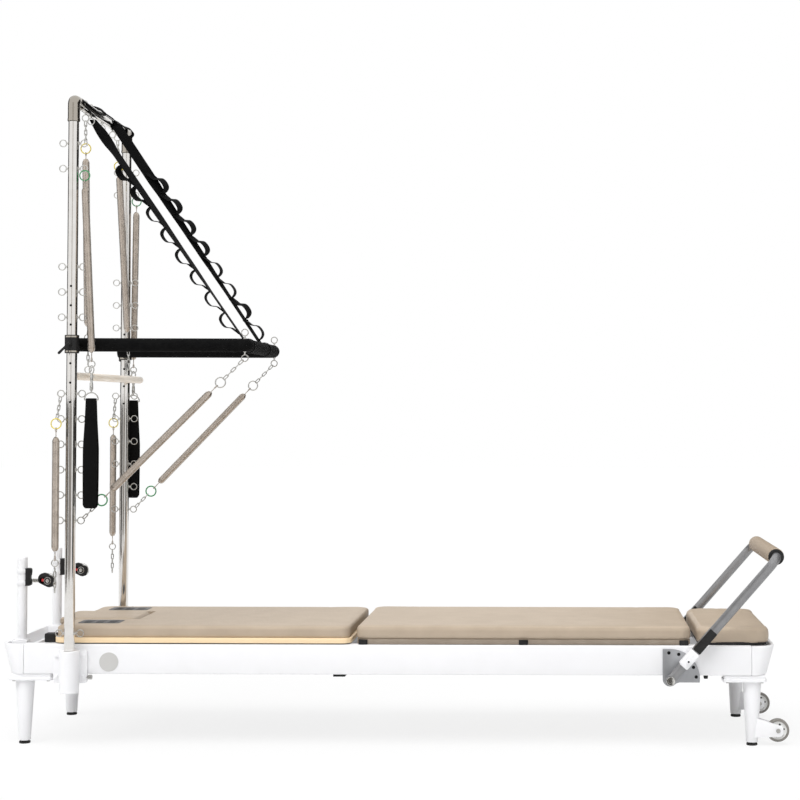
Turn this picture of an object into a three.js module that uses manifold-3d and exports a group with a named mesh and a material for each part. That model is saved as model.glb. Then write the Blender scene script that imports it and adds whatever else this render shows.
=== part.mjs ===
// Pilates tower unit: a low frame on four legs with a padded carriage, a mat and a foot cushion,
// a foot bar at the foot end, and at the head end a steel tower with its push-through bar,
// extension springs, foot straps, roll-down bar and rope pulleys.
//
// Millimetres. X runs from the head end to the foot end, Y from the near side to the far side, Z up.
// X = 0 lies midway between the legs while the pieces are made, and the last line of the placing
// moves the unit so that its origin is the centre of its box, on the floor.

import * as THREE from "three";
import { mergeVertices } from "three/addons/utils/BufferGeometryUtils.js";
import Module from "manifold-3d";

const wasm = await Module();
wasm.setup();

// Clearances
const gap = 0.3;
const cutOverrun = 2;
const weldDistance = 0.0005;

// Main frame
const frameHalfWidth = 310;
const railHeight = 96;
const railWidth = 45;
const railWall = 4;
const railTop = 326;
const railHalfLength = 1183;
const ledgeWidth = 22;
const ledgeThickness = 6;
const ledgeDrop = 38;
const endReach = 79;
const endTaper = 26;
const endCornerRadius = 60;
const endWall = 11;
const endFloor = 7;
const stopThickness = 12;
const stopHeight = 82;
const braceWidth = 39;
const braceThickness = 7;
const braceInset = 38;

// Legs
const legOffset = 4;
const legInset = 37;
const legX = railHalfLength + legOffset;
const legY = frameHalfWidth - legInset;
const legTopRadius = 30.5;
const legBottomRadius = 19;
const footPadHeight = 10;
const footPadRadius = 18;
const footPadChamfer = 2;
const flangeLength = 143;
const flangeWidth = 75;
const flangeThickness = 9.5;
const flangeOffset = 26;
const flangeCorner = 14;
const spacerThickness = 12;
const spacerInset = 5;

// Transport wheels
const wheelRadius = 37.5;
const wheelWidth = 24;
const wheelReach = 84;
const wheelX = legX + wheelReach;
const wheelLift = 11;
const wheelRimWidth = 15;
const wheelTreadInset = 3;
const axleRadius = 5;
const forkThickness = 5;
const forkHeight = 36;
const forkPlay = 1.5;

// Tower
const towerInset = 159;
const towerStandOut = 35;
const towerX = towerInset - railHalfLength;
const towerY = frameHalfWidth + towerStandOut;
const postRadius = 16.85;
const postWall = 2.6;
const crossbarZ = 2092;
const pushDrop = 792;
const pushZ = crossbarZ - pushDrop;
const elbowRadius = 20;
const elbowLeg = 68;
const elbowStop = 17;
const bracketRadius = 31;
const bracketBottom = 175;
const bracketTop = 309;
const bracketFloor = 6;
const bracketPlateLength = 111;
const bracketPlateThickness = 9;
const bracketPlateBottom = 202;
const bracketPlateOffset = -4.5;
const knobRadius = 7.5;
const knobLength = 16;
const knobZ = 221;

// Eyebolts
const eyeRadius = 11;
const eyeWire = 2.1;
const eyeReach = 34;
const eyeShankRadius = 2.6;
const eyePitch = 82;
const eyeRowDrop = 570.5;
const eyeRowLow = pushZ - eyeRowDrop;
const eyeRowCount = 6;
const eyeRowLegSpring = eyeRowLow + (eyeRowCount - 1) * eyePitch;
const highEyeDrop = 222;
const eyeRowHigh = crossbarZ - highEyeDrop;
const crossbarEyeInset = 137;
const crossbarEyeY = towerY - crossbarEyeInset;
const studLength = 8;
const studRadius = 5.2;

// Push-through bar
const pushInset = 54;
const pushY = towerY - pushInset;
const pushReach = 551;
const pushRadius = 22.5;
const pushPinRadius = 6;
const pushBossRadius = 13.2;
const pushEyeDrop = 42;
const collarRadius = 23;
const collarHeight = 60;
const collarPinRadius = 4;
const collarHoleSpacing = 62.5;
const leverLength = 46;
const leverHeel = 5.75;
const leverRadius = 4.5;
const leverStandOff = 19;
const pinTipDepth = 9;

// Looped straps
const strapThickness = 3;
const strapWidth = 26;
const strapGap = 0.5;
const loopPitch = 89;
const loopHalfLength = 29;
const loopHeight = 28;
const loopBulge = 1.3;
const loopLift = 1.35;
const loopWallShare = 1.5;
const nearLoopStart = 225;
const farLoopStart = 285;
const nearStrapTopY = -112;
const nearStrapEndInset = 59;
const nearStrapEndY = nearStrapEndInset - pushY;
const farStrapTopY = 100;
const farStrapEndY = 75;

// Springs and their links
const coilRadius = 12.2;
const coilWire = 3.4;
const coilGap = 1.2;
const coilTip = 1.6;
const endTaperLength = 17;
const hookRadius = 2.2;
const chainRadius = 3.2;
const linkRadius = 7;
const linkWire = 1.7;
const hookPlay = 0.6;
const tagRingRadius = 16.3;
const tagRingWire = 2.2;
const curlsPerSpring = 8;
const stepsPerCurl = 8;
const hookReach = 26;
const lowerChainLength = 76;
const upperChainLength = 96;
const legSpringLean = 11;
const legTagDrop = 97.5;
const legCoilFootDrop = 509.5;
const legEndDrop = 643.5;
const strapTagDrop = 32;
const strapCoilFootDrop = 28;
const rollTagDrop = 136;
const rollCoilFootRise = 64;
const legTagZ = eyeRowLegSpring - legTagDrop;
const legCoilFootZ = eyeRowLegSpring - legCoilFootDrop;
const legEndZ = eyeRowLegSpring - legEndDrop;
const strapTagZ = eyeRowHigh - strapTagDrop;
const strapCoilFootZ = pushZ - strapCoilFootDrop;
const rollTagZ = crossbarZ - rollTagDrop;
const rollCoilFootZ = pushZ + rollCoilFootRise;
const nearStrapLean = { tag: 8, foot: 33 };
const nearStrapOutwards = { tag: 1, foot: 11 };
const farStrapLean = { tag: 2, foot: -12 };
const farStrapOutwards = { tag: 8, foot: 33 };

// Foot straps
const footStrapTopWidth = 34;
const footStrapWidth = 46;
const footStrapLength = 350;
const footStrapDepth = 26;
const footStrapThickness = 5;
const footStrapNeck = 11.6;
const footHookLength = 103;
const strapSeamShare = 0.2;
const strapMiddleShare = 0.45;
const dRingHalfWidth = 24;
const dRingWire = 4;

// Roll-down bar
const rollBarRadius = 12.5;
const rollBarInset = 20;
const rollBarLength = 2 * (towerY - rollBarInset);
const rollBarDrop = 103;
const rollBarZ = pushZ - rollBarDrop;
const rollBarForward = 32;
const rollBarX = towerX + rollBarForward;
const rollBarSkew = 28;
const rollBarEyeInset = 3;
const rollBarEyeY = crossbarEyeY - rollBarEyeInset;

// Carriage and cushions
const deckHeadInset = 93;
const deckLength = 970;
const deckInset = 8;
const deckHead = deckHeadInset - railHalfLength;
const deckFoot = deckHead + deckLength;
const deckHalfWidth = frameHalfWidth - deckInset;
const deckBottom = 329;
const deckThickness = 18;
const deckCorner = 34;
const padTop = 386;
const padCrown = 2.5;
const padDrawIn = 2;
const padEdgeRadius = 7;
const runnerLength = 90;
const runnerWidth = 16;
const runnerInset = 130;
const bumperLength = 34;
const bumperStandOff = 2;
const bumperWidth = 44;
const bumperBottom = 327;
const bumperTop = 356;
const bumperInset = 50;
const bumperY = deckHalfWidth - bumperInset;
const headrestReach = 40;
const headrestLength = 275;
const headrestHead = deckHead - headrestReach;
const headrestFoot = headrestHead + headrestLength;
const headrestHalfWidth = 113;
const headrestThickness = 24;
const headrestProud = 4;
const headrestBevel = 18;
const headrestPlay = 3;
const matGap = 8;
const matFootEndInset = 190;
const matHead = deckFoot + matGap;
const matFoot = railHalfLength - matFootEndInset;
const matTop = 388;
const matBoard = 10;
const matFootHeight = 12;
const matFootLength = 30;
const matFootWidth = 34;
const matFootInset = 30;
const cushionGap = 4;
const footCushionReach = 63;
const footCushionHead = matFoot + cushionGap;
const footCushionFoot = railHalfLength + footCushionReach;
const footCushionTop = 384;
const footCushionBottom = 335;
const cushionCorner = 40;
const headrestCorner = 22;

// Foot bar
const footPivotInset = 266;
const footPivotX = railHalfLength - footPivotInset;
const footPivotZ = 219.5;
const footArmLength = 525;
const footArmAngle = 48.8;
const footArmStandOut = 35;
const footArmY = frameHalfWidth + footArmStandOut;
const footTubeRadius = 15.5;
const footHoleRadius = 5.5;
const footHoleCircle = 85;
const footHoleStep = 22;
const quadrantRadius = 97;
const quadrantThickness = 6;
const quadrantMargin = 24;
const quadrantChamferShare = 0.35;
const footStops = [-2, -1, 0, 1, 2];
const pivotStudRadius = 8;
const pivotCapRadius = 14;
const pivotCapThickness = 4;
const gripRadius = 26;
const gripInset = 41;
const gripHalfLength = footArmY - gripInset;
const sleeveRadius = 20;
const sleeveStart = 124;
const sleeveLength = 86;
const housingSize = 44;
const housingHalfDepth = 19;
const lockPinRadius = 4.6;
const lockKnobRadius = 10;
const lockKnobLength = 9;
const lockTravel = 6;

// Risers and pulleys
const riserEndInset = 40;
const riserInset = 110;
const riserX = riserEndInset - railHalfLength - endReach;
const riserY = frameHalfWidth - riserInset;
const riserRadius = 16;
const riserTop = 600;
const riserBottom = 292;
const socketWall = 7;
const socketHeight = 36;
const baseHalfHeight = 30;
const baseThickness = 14;
const baseHalfWidth = 13;
const pulleyZ = 522;
const baseOffset = 12;
const neckLength = 31;
const neckRadius = 7;
const sheaveRadius = 19;
const sheaveWidth = 9;
const sheaveGroove = 5;
const cheekRadius = 24;
const cheekThickness = 3.5;
const cheekPlay = 1.2;
const sheavePinRadius = 4;

// Shares of a cushion's outline and top
const cushionCrownShare = 0.55;
const headrestBevelShare = 0.5;
const sideShares = [0.55, 0, -0.55];
const cornerSteps = 4;

// Numbers of sides
const postSides = 16;
const barSides = 12;
const wireSides = 3;
const ringSides = 6;
const shankSides = 3;
const linkSides = 8;
const rodSides = 5;
const wrapSides = 10;
const tagSides = 8;
const roundSides = 14;
const smallSides = 12;
const pinSides = 10;
const leverSides = 8;
const holeSides = 6;
const endCornerSteps = 4;
const plateCornerSteps = 3;
const loopSteps = 4;
const ringArcSteps = 5;
const quadrantArcSteps = 8;

// Materials
function finish(color, roughness, metalness) {
  return new THREE.MeshStandardMaterial({ color, roughness, metalness });
}
const whitePaint = finish("#f2f2f0", 0.45, 0.1);
const steel = finish("#b9b7b2", 0.25, 0.9);
const darkSteel = finish("#8b8c90", 0.4, 0.7);
const blackFoam = finish("#1b1b1c", 0.85, 0);
const blackPlastic = finish("#161617", 0.5, 0);
const webbing = finish("#121213", 0.9, 0);
const leather = finish("#b9a68f", 0.6, 0);
const birch = finish("#ead2a6", 0.55, 0);
const maple = finish("#ead6bf", 0.5, 0);
const rubber = finish("#101010", 0.9, 0);
const wheelPlastic = finish("#e6e6e4", 0.5, 0);

// Sides of the unit: the near one is towards -Y
const sides = [
  { name: "near", sign: -1 },
  { name: "far", sign: 1 },
];
const ends = [
  { name: "head", sign: -1 },
  { name: "foot", sign: 1 },
];

const at = (x, y, z) => new THREE.Vector3(x, y, z);
const towards = (from, to) => new THREE.Vector3().subVectors(to, from).normalize();
const alongX = at(1, 0, 0);
const alongY = at(0, 1, 0);
const alongZ = at(0, 0, 1);
const degrees = Math.PI / 180;

// Solids
function toSolid(geometry) {
  const bare = geometry.index ? geometry.toNonIndexed() : geometry.clone();
  for (const name of Object.keys(bare.attributes)) {
    if (name !== "position") bare.deleteAttribute(name);
  }
  const merged = mergeVertices(bare, weldDistance);
  const kept = [];
  const index = merged.index.array;
  for (let i = 0; i < index.length; i += 3) {
    const [a, b, c] = [index[i], index[i + 1], index[i + 2]];
    if (a !== b && b !== c && c !== a) kept.push(a, b, c);
  }
  return new wasm.Manifold(new wasm.Mesh({
    numProp: 3,
    vertProperties: merged.attributes.position.array,
    triVerts: new Uint32Array(kept),
  }));
}

function toGeometry(body) {
  const mesh = body.getMesh();
  const geometry = new THREE.BufferGeometry();
  const places = new Float32Array(mesh.vertProperties);
  geometry.setAttribute("position", new THREE.BufferAttribute(places, mesh.numProp));
  geometry.setIndex(new THREE.BufferAttribute(new Uint32Array(mesh.triVerts), 1));
  geometry.computeVertexNormals();
  return geometry;
}

const join = (...pieces) => toGeometry(pieces.map(toSolid).reduce((a, b) => a.add(b)));
const cut = (base, ...cutters) => toGeometry(
  cutters.map(toSolid).reduce((a, b) => a.subtract(b), toSolid(base)),
);

// A closed surface from points and faces, turned so that it faces outwards
function closedSurface(points, faces) {
  const volume = faces.reduce((sum, [a, b, c]) => (
    sum + points[a].dot(new THREE.Vector3().crossVectors(points[b], points[c]))
  ), 0);
  const turned = volume < 0 ? faces.map(([a, b, c]) => [a, c, b]) : faces;
  const geometry = new THREE.BufferGeometry().setFromPoints(points);
  geometry.setIndex(turned.flat());
  geometry.computeVertexNormals();
  return geometry;
}

// Shapes placed by their corners or end points
function box(x0, x1, y0, y1, z0, z1) {
  const geometry = new THREE.BoxGeometry(Math.abs(x1 - x0), Math.abs(y1 - y0), Math.abs(z1 - z0));
  return geometry.translate((x0 + x1) / 2, (y0 + y1) / 2, (z0 + z1) / 2);
}

function cone(from, to, radiusFrom, radiusTo, count) {
  const axis = new THREE.Vector3().subVectors(to, from);
  const geometry = new THREE.CylinderGeometry(radiusTo, radiusFrom, axis.length(), count);
  geometry.applyQuaternion(new THREE.Quaternion().setFromUnitVectors(alongY, axis.clone().normalize()));
  const middle = new THREE.Vector3().addVectors(from, to).multiplyScalar(0.5);
  return geometry.translate(middle.x, middle.y, middle.z);
}

const rod = (from, to, radius, count) => cone(from, to, radius, radius, count);

// The corner radius of a many-sided hole whose flats stay outside a round piece
const around = (radius, count) => radius / Math.cos(Math.PI / count);
const bore = (from, to, radius, count) => rod(from, to, around(radius, count), count);

function ball(centre, radius, count) {
  const geometry = new THREE.SphereGeometry(radius, count, count / 2);
  return geometry.translate(centre.x, centre.y, centre.z);
}

function ring(centre, axis, radius, wire, around, across) {
  const geometry = new THREE.TorusGeometry(radius, wire, across, around);
  geometry.applyQuaternion(new THREE.Quaternion().setFromUnitVectors(alongZ, axis));
  return geometry.translate(centre.x, centre.y, centre.z);
}

// A turned shape about the line through a centre, from [radius, height] pairs
function turned(profile, centre, axis, count) {
  const points = profile.map(([radius, height]) => new THREE.Vector2(radius, height));
  const geometry = new THREE.LatheGeometry(points, count);
  geometry.applyQuaternion(new THREE.Quaternion().setFromUnitVectors(alongY, axis));
  return geometry.translate(centre.x, centre.y, centre.z);
}

function roundedOutline(x0, x1, y0, y1, radius) {
  const shape = new THREE.Shape();
  shape.moveTo(x0 + radius, y0);
  shape.lineTo(x1 - radius, y0);
  shape.absarc(x1 - radius, y0 + radius, radius, -Math.PI / 2, 0);
  shape.absarc(x1 - radius, y1 - radius, radius, 0, Math.PI / 2);
  shape.absarc(x0 + radius, y1 - radius, radius, Math.PI / 2, Math.PI);
  shape.absarc(x0 + radius, y0 + radius, radius, Math.PI, Math.PI * 1.5);
  return shape;
}

function slab(shape, bottom, top, curveSegments) {
  const options = { depth: top - bottom, bevelEnabled: false, curveSegments };
  const geometry = new THREE.ExtrudeGeometry(shape, options);
  return geometry.translate(0, 0, bottom);
}

// An outline drawn in X and Z, extruded along Y
function upright(shape, y0, y1, curveSegments) {
  const geometry = new THREE.ExtrudeGeometry(shape, { depth: y1 - y0, bevelEnabled: false, curveSegments });
  geometry.rotateX(Math.PI / 2);
  return geometry.translate(0, y1, 0);
}

function reshape(geometry, move) {
  const place = geometry.attributes.position;
  const point = at(0, 0, 0);
  for (let i = 0; i < place.count; i += 1) {
    point.fromBufferAttribute(place, i);
    move(point);
    place.setXYZ(i, point.x, point.y, point.z);
  }
  geometry.computeVertexNormals();
  return geometry;
}

// The unit, and a group for each side in which pieces are made on the far side and mirrored for the near one
const unit = new THREE.Group();
const sideGroups = {};
for (const side of sides) {
  const group = new THREE.Group();
  group.scale.y = side.sign;
  unit.add(group);
  sideGroups[side.name] = group;
}

function piece(name, geometry, material, parent = unit) {
  const mesh = new THREE.Mesh(geometry, material);
  mesh.name = name;
  parent.add(mesh);
  return mesh;
}

function onBothSides(name, geometry, material) {
  for (const side of sides) piece(name + "_" + side.name, geometry, material, sideGroups[side.name]);
}

// Frame rails: hollow box sections with an inner ledge that the carriage runs on
const railBottom = railTop - railHeight;
const ledgeTop = railTop - ledgeDrop;
const railInner = frameHalfWidth - railWidth;
const ledgeInner = railInner - ledgeWidth;

function rail() {
  const outline = new THREE.Shape();
  outline.moveTo(frameHalfWidth, railBottom);
  outline.lineTo(frameHalfWidth, railTop);
  outline.lineTo(railInner, railTop);
  outline.lineTo(railInner, ledgeTop);
  outline.lineTo(ledgeInner, ledgeTop);
  outline.lineTo(ledgeInner, ledgeTop - ledgeThickness);
  outline.lineTo(railInner, ledgeTop - ledgeThickness);
  outline.lineTo(railInner, railBottom);
  const hollow = new THREE.Path();
  hollow.moveTo(frameHalfWidth - railWall, railBottom + railWall);
  hollow.lineTo(railInner + railWall, railBottom + railWall);
  hollow.lineTo(railInner + railWall, railTop - railWall);
  hollow.lineTo(frameHalfWidth - railWall, railTop - railWall);
  outline.holes.push(hollow);
  const geometry = new THREE.ExtrudeGeometry(outline, { depth: 2 * railHalfLength, bevelEnabled: false });
  geometry.rotateX(Math.PI / 2);
  geometry.rotateZ(Math.PI / 2);
  return geometry.translate(-railHalfLength, 0, 0);
}

onBothSides("rail", rail(), whitePaint);

// End frames: a rounded wall round each end, tapering in towards its bottom, a floor that the legs bolt
// to, and a cross plate. Drawn at the foot end and turned round for the head end.
const endOuter = railHalfLength + endReach;
const endStart = railHalfLength + gap;

function endWallOutline(inset) {
  const reach = endOuter - inset;
  const half = frameHalfWidth - inset;
  const radius = endCornerRadius - inset;
  const points = [];
  const curve = new THREE.Path();
  curve.moveTo(endStart, -half);
  curve.lineTo(reach - radius, -half);
  curve.absarc(reach - radius, -half + radius, radius, -Math.PI / 2, 0);
  curve.lineTo(reach, half - radius);
  curve.absarc(reach - radius, half - radius, radius, 0, Math.PI / 2);
  curve.lineTo(endStart, half);
  points.push(...curve.getPoints(endCornerSteps));
  return points;
}

function endFrame(sign) {
  const wall = new THREE.Shape([...endWallOutline(0), ...endWallOutline(endWall).reverse()]);
  const floor = new THREE.Shape(endWallOutline(endWall / 2));
  const taper = (point) => {
    const reachShare = (point.x - endStart) / (endOuter - endStart);
    point.x -= endTaper * reachShare * (railTop - point.z) / railHeight;
  };
  const wallSolid = reshape(slab(wall, railBottom, railTop, endCornerSteps), taper);
  const floorSolid = reshape(slab(floor, railBottom, railBottom + endFloor, endCornerSteps), taper);
  const stopTop = railBottom + stopHeight;
  const stop = box(endStart, endStart + stopThickness, -railInner, railInner, railBottom, stopTop);
  const socketHalf = riserRadius + socketWall;
  const sockets = sides.map((side) => box(
    -riserX - socketHalf, endOuter - endWall / 2 - endTaper * socketHeight / railHeight,
    side.sign * riserY - socketHalf, side.sign * riserY + socketHalf,
    railTop - socketHeight - socketWall, railTop - gap,
  ));
  const bores = sides.map((side) => bore(
    at(-riserX, side.sign * riserY, riserBottom - gap),
    at(-riserX, side.sign * riserY, railTop + cutOverrun),
    riserRadius + gap, roundSides,
  ));
  const webs = sides.map((side) => box(
    -riserX - socketHalf, -riserX - socketHalf + socketWall,
    side.sign * riserY - socketHalf, side.sign * riserY + socketHalf,
    railBottom + endFloor / 2, railTop - socketHeight,
  ));
  const body = sign < 0
    ? cut(join(wallSolid, floorSolid, stop, ...sockets, ...webs), ...bores)
    : join(wallSolid, floorSolid, stop);
  if (sign < 0) body.rotateZ(Math.PI);
  return body;
}

for (const end of ends) piece("end_frame_" + end.name, endFrame(end.sign), whitePaint);

// Cross brace under the rails
const braceX = deckFoot - braceInset;
piece(
  "cross_brace",
  box(
    braceX - braceWidth / 2, braceX + braceWidth / 2, -frameHalfWidth + railWall, frameHalfWidth - railWall,
    railBottom - gap - braceThickness, railBottom - gap,
  ),
  blackPlastic,
);

// Legs: tapered, with a flange and a spacer under the rail, and at the foot end a wheel fork
const spacerTop = railBottom - gap;
const flangeTop = spacerTop - spacerThickness;
const legTop = flangeTop - flangeThickness;
const wheelZ = wheelRadius + wheelLift;
const forkHalf = wheelWidth / 2 + forkPlay;
const forkMiddle = forkHalf + forkThickness / 2;

function leg(sign) {
  const x = sign * legX;
  const flangeX = x - sign * flangeOffset;
  const post = cone(
    at(x, legY, footPadHeight + gap), at(x, legY, flangeTop - flangeThickness / 2),
    legBottomRadius, legTopRadius, roundSides,
  );
  const flange = slab(roundedOutline(
    flangeX - flangeLength / 2, flangeX + flangeLength / 2, legY - flangeWidth / 2, legY + flangeWidth / 2,
    flangeCorner,
  ), legTop, flangeTop, plateCornerSteps);
  const spacer = box(
    flangeX - flangeLength / 2 + spacerInset, flangeX + flangeLength / 2 - spacerInset,
    legY - flangeWidth / 2 + spacerInset, legY + flangeWidth / 2 - spacerInset,
    flangeTop - flangeThickness / 2, spacerTop,
  );
  if (sign < 0) return join(post, flange, spacer);
  const cheeks = [-1, 1].map((cheek) => {
    const faces = [legY + cheek * forkHalf, legY + cheek * (forkHalf + forkThickness)];
    const [low, high] = [Math.min(...faces), Math.max(...faces)];
    return join(
      box(x, wheelX, low, high, wheelZ - forkHeight / 2, wheelZ + forkHeight / 2),
      rod(at(wheelX, low, wheelZ), at(wheelX, high, wheelZ), forkHeight / 2, smallSides),
    );
  });
  const web = box(
    x, wheelX - wheelRadius - forkPlay, legY - forkMiddle, legY + forkMiddle,
    wheelZ - forkHeight / 2, wheelZ + forkHeight / 2,
  );
  const axle = rod(
    at(wheelX, legY - forkMiddle, wheelZ), at(wheelX, legY + forkMiddle, wheelZ),
    axleRadius, smallSides,
  );
  return join(post, flange, spacer, ...cheeks, web, axle);
}

for (const end of ends) {
  onBothSides("leg_" + end.name, leg(end.sign), whitePaint);
  onBothSides("foot_pad_" + end.name, turned([
    [0, 0],
    [footPadRadius - footPadChamfer, 0],
    [footPadRadius, footPadChamfer],
    [footPadRadius, footPadHeight],
    [0, footPadHeight],
  ], at(end.sign * legX, legY, 0), alongZ, smallSides), rubber);
}

// Transport wheels, bored for the axle
const wheelSides = 20;
const wheelBore = around(axleRadius + gap, wheelSides);
onBothSides("transport_wheel", turned([
  [wheelBore, -wheelWidth / 2],
  [wheelRadius - wheelTreadInset, -wheelWidth / 2],
  [wheelRadius, -wheelRimWidth / 2],
  [wheelRadius, wheelRimWidth / 2],
  [wheelRadius - wheelTreadInset, wheelWidth / 2],
  [wheelBore, wheelWidth / 2],
  [wheelBore, -wheelWidth / 2],
], at(wheelX, legY, wheelZ), alongY, wheelSides), wheelPlastic);

// Tower brackets: a sleeve for the upright, a plate against the rail and a clamp knob
const bracketPlateX = towerX + bracketPlateOffset;
const bracketPlateEnd = bracketPlateX + bracketPlateLength / 2;
const bracketFace = frameHalfWidth + gap;

function towerBracket() {
  const plate = box(
    bracketPlateX - bracketPlateLength / 2, bracketPlateEnd,
    bracketFace, bracketFace + bracketPlateThickness, bracketPlateBottom, bracketTop,
  );
  const neck = box(
    towerX - bracketRadius, towerX + bracketRadius, bracketFace, towerY, bracketPlateBottom, bracketTop,
  );
  const sleeve = rod(
    at(towerX, towerY, bracketBottom), at(towerX, towerY, bracketTop), bracketRadius, roundSides,
  );
  const knobY = bracketFace + bracketPlateThickness / 2 + knobRadius / 2;
  const knob = rod(
    at(bracketPlateEnd - cutOverrun, knobY, knobZ), at(bracketPlateEnd + knobLength, knobY, knobZ),
    knobRadius, smallSides,
  );
  const socket = bore(
    at(towerX, towerY, bracketBottom + bracketFloor), at(towerX, towerY, bracketTop + cutOverrun),
    postRadius + gap, postSides,
  );
  return cut(join(plate, neck, sleeve, knob), socket);
}

onBothSides("tower_bracket", towerBracket(), whitePaint);

// Eyebolts: a ring on a shank, placed by the face that it stands on and the way that it points
function eyebolt(foot, direction, ringAxis, reach) {
  const centre = foot.clone().addScaledVector(direction, reach);
  const shankEnd = foot.clone().addScaledVector(direction, reach - eyeRadius);
  const shankStart = foot.clone().addScaledVector(direction, -cutOverrun);
  return [
    ring(centre, ringAxis, eyeRadius, eyeWire, ringSides, wireSides),
    rod(shankStart, shankEnd, eyeShankRadius, shankSides),
  ];
}

// The eyebolts that carry a spring: at the foot side low and high, at the head side in between
const loadedEyes = [
  { z: eyeRowLow, way: 1 },
  { z: eyeRowHigh, way: 1 },
  { z: eyeRowLegSpring, way: -1 },
];

// Uprights: steel tube with eyebolts on both faces and holes for the push-through bar's lock pin
const postFoot = bracketBottom + bracketFloor + gap;
const postHead = crossbarZ - elbowStop;
const eyeSeat = postRadius - postWall / 2;
const postEyeReach = eyeReach - eyeSeat;
const collarHoles = [-1, 0, 1].map((step) => pushZ + step * collarHoleSpacing);

function towerPost() {
  const tube = cut(
    rod(at(towerX, towerY, postFoot), at(towerX, towerY, postHead), postRadius, postSides),
    rod(
      at(towerX, towerY, postFoot - cutOverrun), at(towerX, towerY, postHead + cutOverrun),
      postRadius - postWall, postSides / 2,
    ),
    ...collarHoles.map((z) => rod(
      at(towerX, towerY, z), at(towerX, towerY + postRadius + cutOverrun, z),
      collarPinRadius + gap, holeSides,
    )),
  );
  const eyes = loadedEyes.flatMap(({ z, way }) => eyebolt(
    at(towerX + way * eyeSeat, towerY, z), at(way, 0, 0), alongY, postEyeReach,
  ));
  return join(tube, ...eyes);
}

onBothSides("tower_upright", towerPost(), steel);

// Crossbar between the elbows, with eyebolts under it and their nuts on top
const crossbarHalf = towerY - elbowStop;

function crossbar() {
  const [from, to] = [at(towerX, -crossbarHalf, crossbarZ), at(towerX, crossbarHalf, crossbarZ)];
  const tube = rod(from, to, postRadius, postSides);
  const places = [-crossbarEyeY, crossbarEyeY];
  const eyes = places.flatMap((y) => eyebolt(
    at(towerX, y, crossbarZ - eyeSeat), at(0, 0, -1), alongY, postEyeReach,
  ));
  const studs = places.map((y) => rod(
    at(towerX, y, crossbarZ + eyeSeat), at(towerX, y, crossbarZ + postRadius + studLength),
    studRadius, holeSides,
  ));
  return join(tube, ...eyes, ...studs);
}

piece("tower_crossbar", crossbar(), steel);

function elbow() {
  const corner = at(towerX, towerY, crossbarZ);
  const body = join(
    rod(at(towerX, towerY, crossbarZ - elbowLeg), corner, elbowRadius, barSides),
    rod(at(towerX, towerY - elbowLeg, crossbarZ), corner, elbowRadius, barSides),
    ball(corner, elbowRadius, barSides),
  );
  return cut(
    body,
    rod(
      at(towerX, towerY, crossbarZ - elbowLeg - cutOverrun), at(towerX, towerY, postHead + gap),
      postRadius + gap, postSides,
    ),
    rod(
      at(towerX, towerY - elbowLeg - cutOverrun, crossbarZ), at(towerX, crossbarHalf + gap, crossbarZ),
      postRadius + gap, postSides,
    ),
  );
}

onBothSides("tower_elbow", elbow(), steel);

// Push-through bar: a padded U that turns on a pin in a collar on each upright
const pushEndX = towerX + pushReach;
const armFace = pushY + pushRadius;
const pushEyeReach = pushEyeDrop - pushRadius;

function pushBar() {
  const parts = sides.flatMap((side) => {
    const y = side.sign * pushY;
    const pinEnd = side.sign * (towerY - postRadius - gap);
    return [
      rod(at(towerX - pushRadius / 2, y, pushZ), at(pushEndX, y, pushZ), pushRadius, barSides),
      ball(at(pushEndX, y, pushZ), pushRadius, barSides),
      rod(at(towerX, y, pushZ), at(towerX, pinEnd, pushZ), pushPinRadius, pinSides),
      ...eyebolt(at(pushEndX, y, pushZ + pushRadius), alongZ, alongY, pushEyeReach),
      ...eyebolt(at(pushEndX, y, pushZ - pushRadius), at(0, 0, -1), alongY, pushEyeReach),
    ];
  });
  parts.push(rod(at(pushEndX, -pushY, pushZ), at(pushEndX, pushY, pushZ), pushRadius, barSides));
  return join(...parts);
}

piece("push_through_bar", pushBar(), blackFoam);

function pushCollar() {
  const bottom = pushZ - collarHeight / 2;
  const top = pushZ + collarHeight / 2;
  const boss = rod(
    at(towerX, armFace + gap, pushZ), at(towerX, towerY - postRadius, pushZ), pushBossRadius, roundSides,
  );
  const sleeve = rod(at(towerX, towerY, bottom), at(towerX, towerY, top), collarRadius, roundSides);
  const postHole = [at(towerX, towerY, bottom - cutOverrun), at(towerX, towerY, top + cutOverrun)];
  const outside = at(towerX, towerY + collarRadius + cutOverrun, pushZ);
  return cut(
    join(sleeve, boss),
    rod(...postHole, postRadius + gap, postSides),
    rod(at(towerX, armFace, pushZ), at(towerX, towerY, pushZ), pushPinRadius + gap, pinSides),
    rod(at(towerX, towerY, pushZ), outside, collarPinRadius + gap, holeSides),
  );
}

onBothSides("push_bar_collar", pushCollar(), steel);

// Lock pin with its lever, which leans back towards the head end
function lockLever() {
  const root = towerY + collarRadius + leverStandOff;
  const lean = at(-1, 0, -1).normalize();
  const centre = at(towerX, root, pushZ);
  return join(
    rod(at(towerX, towerY + pinTipDepth, pushZ), at(towerX, root, pushZ), collarPinRadius, holeSides),
    rod(
      centre.clone().addScaledVector(lean, -leverHeel), centre.clone().addScaledVector(lean, leverLength),
      leverRadius, leverSides,
    ),
  );
}

onBothSides("push_bar_lock_pin", lockLever(), blackPlastic);

// Looped straps from the crossbar to the push-through bar. The outline lies in the plane along the strap,
// with s along it and n across it, and a shear spreads it from its top place to its end place in Y.
const strapSpanX = pushEndX - towerX;
const strapSpanZ = pushZ - crossbarZ;
const strapSpan = Math.hypot(strapSpanX, strapSpanZ);

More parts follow.
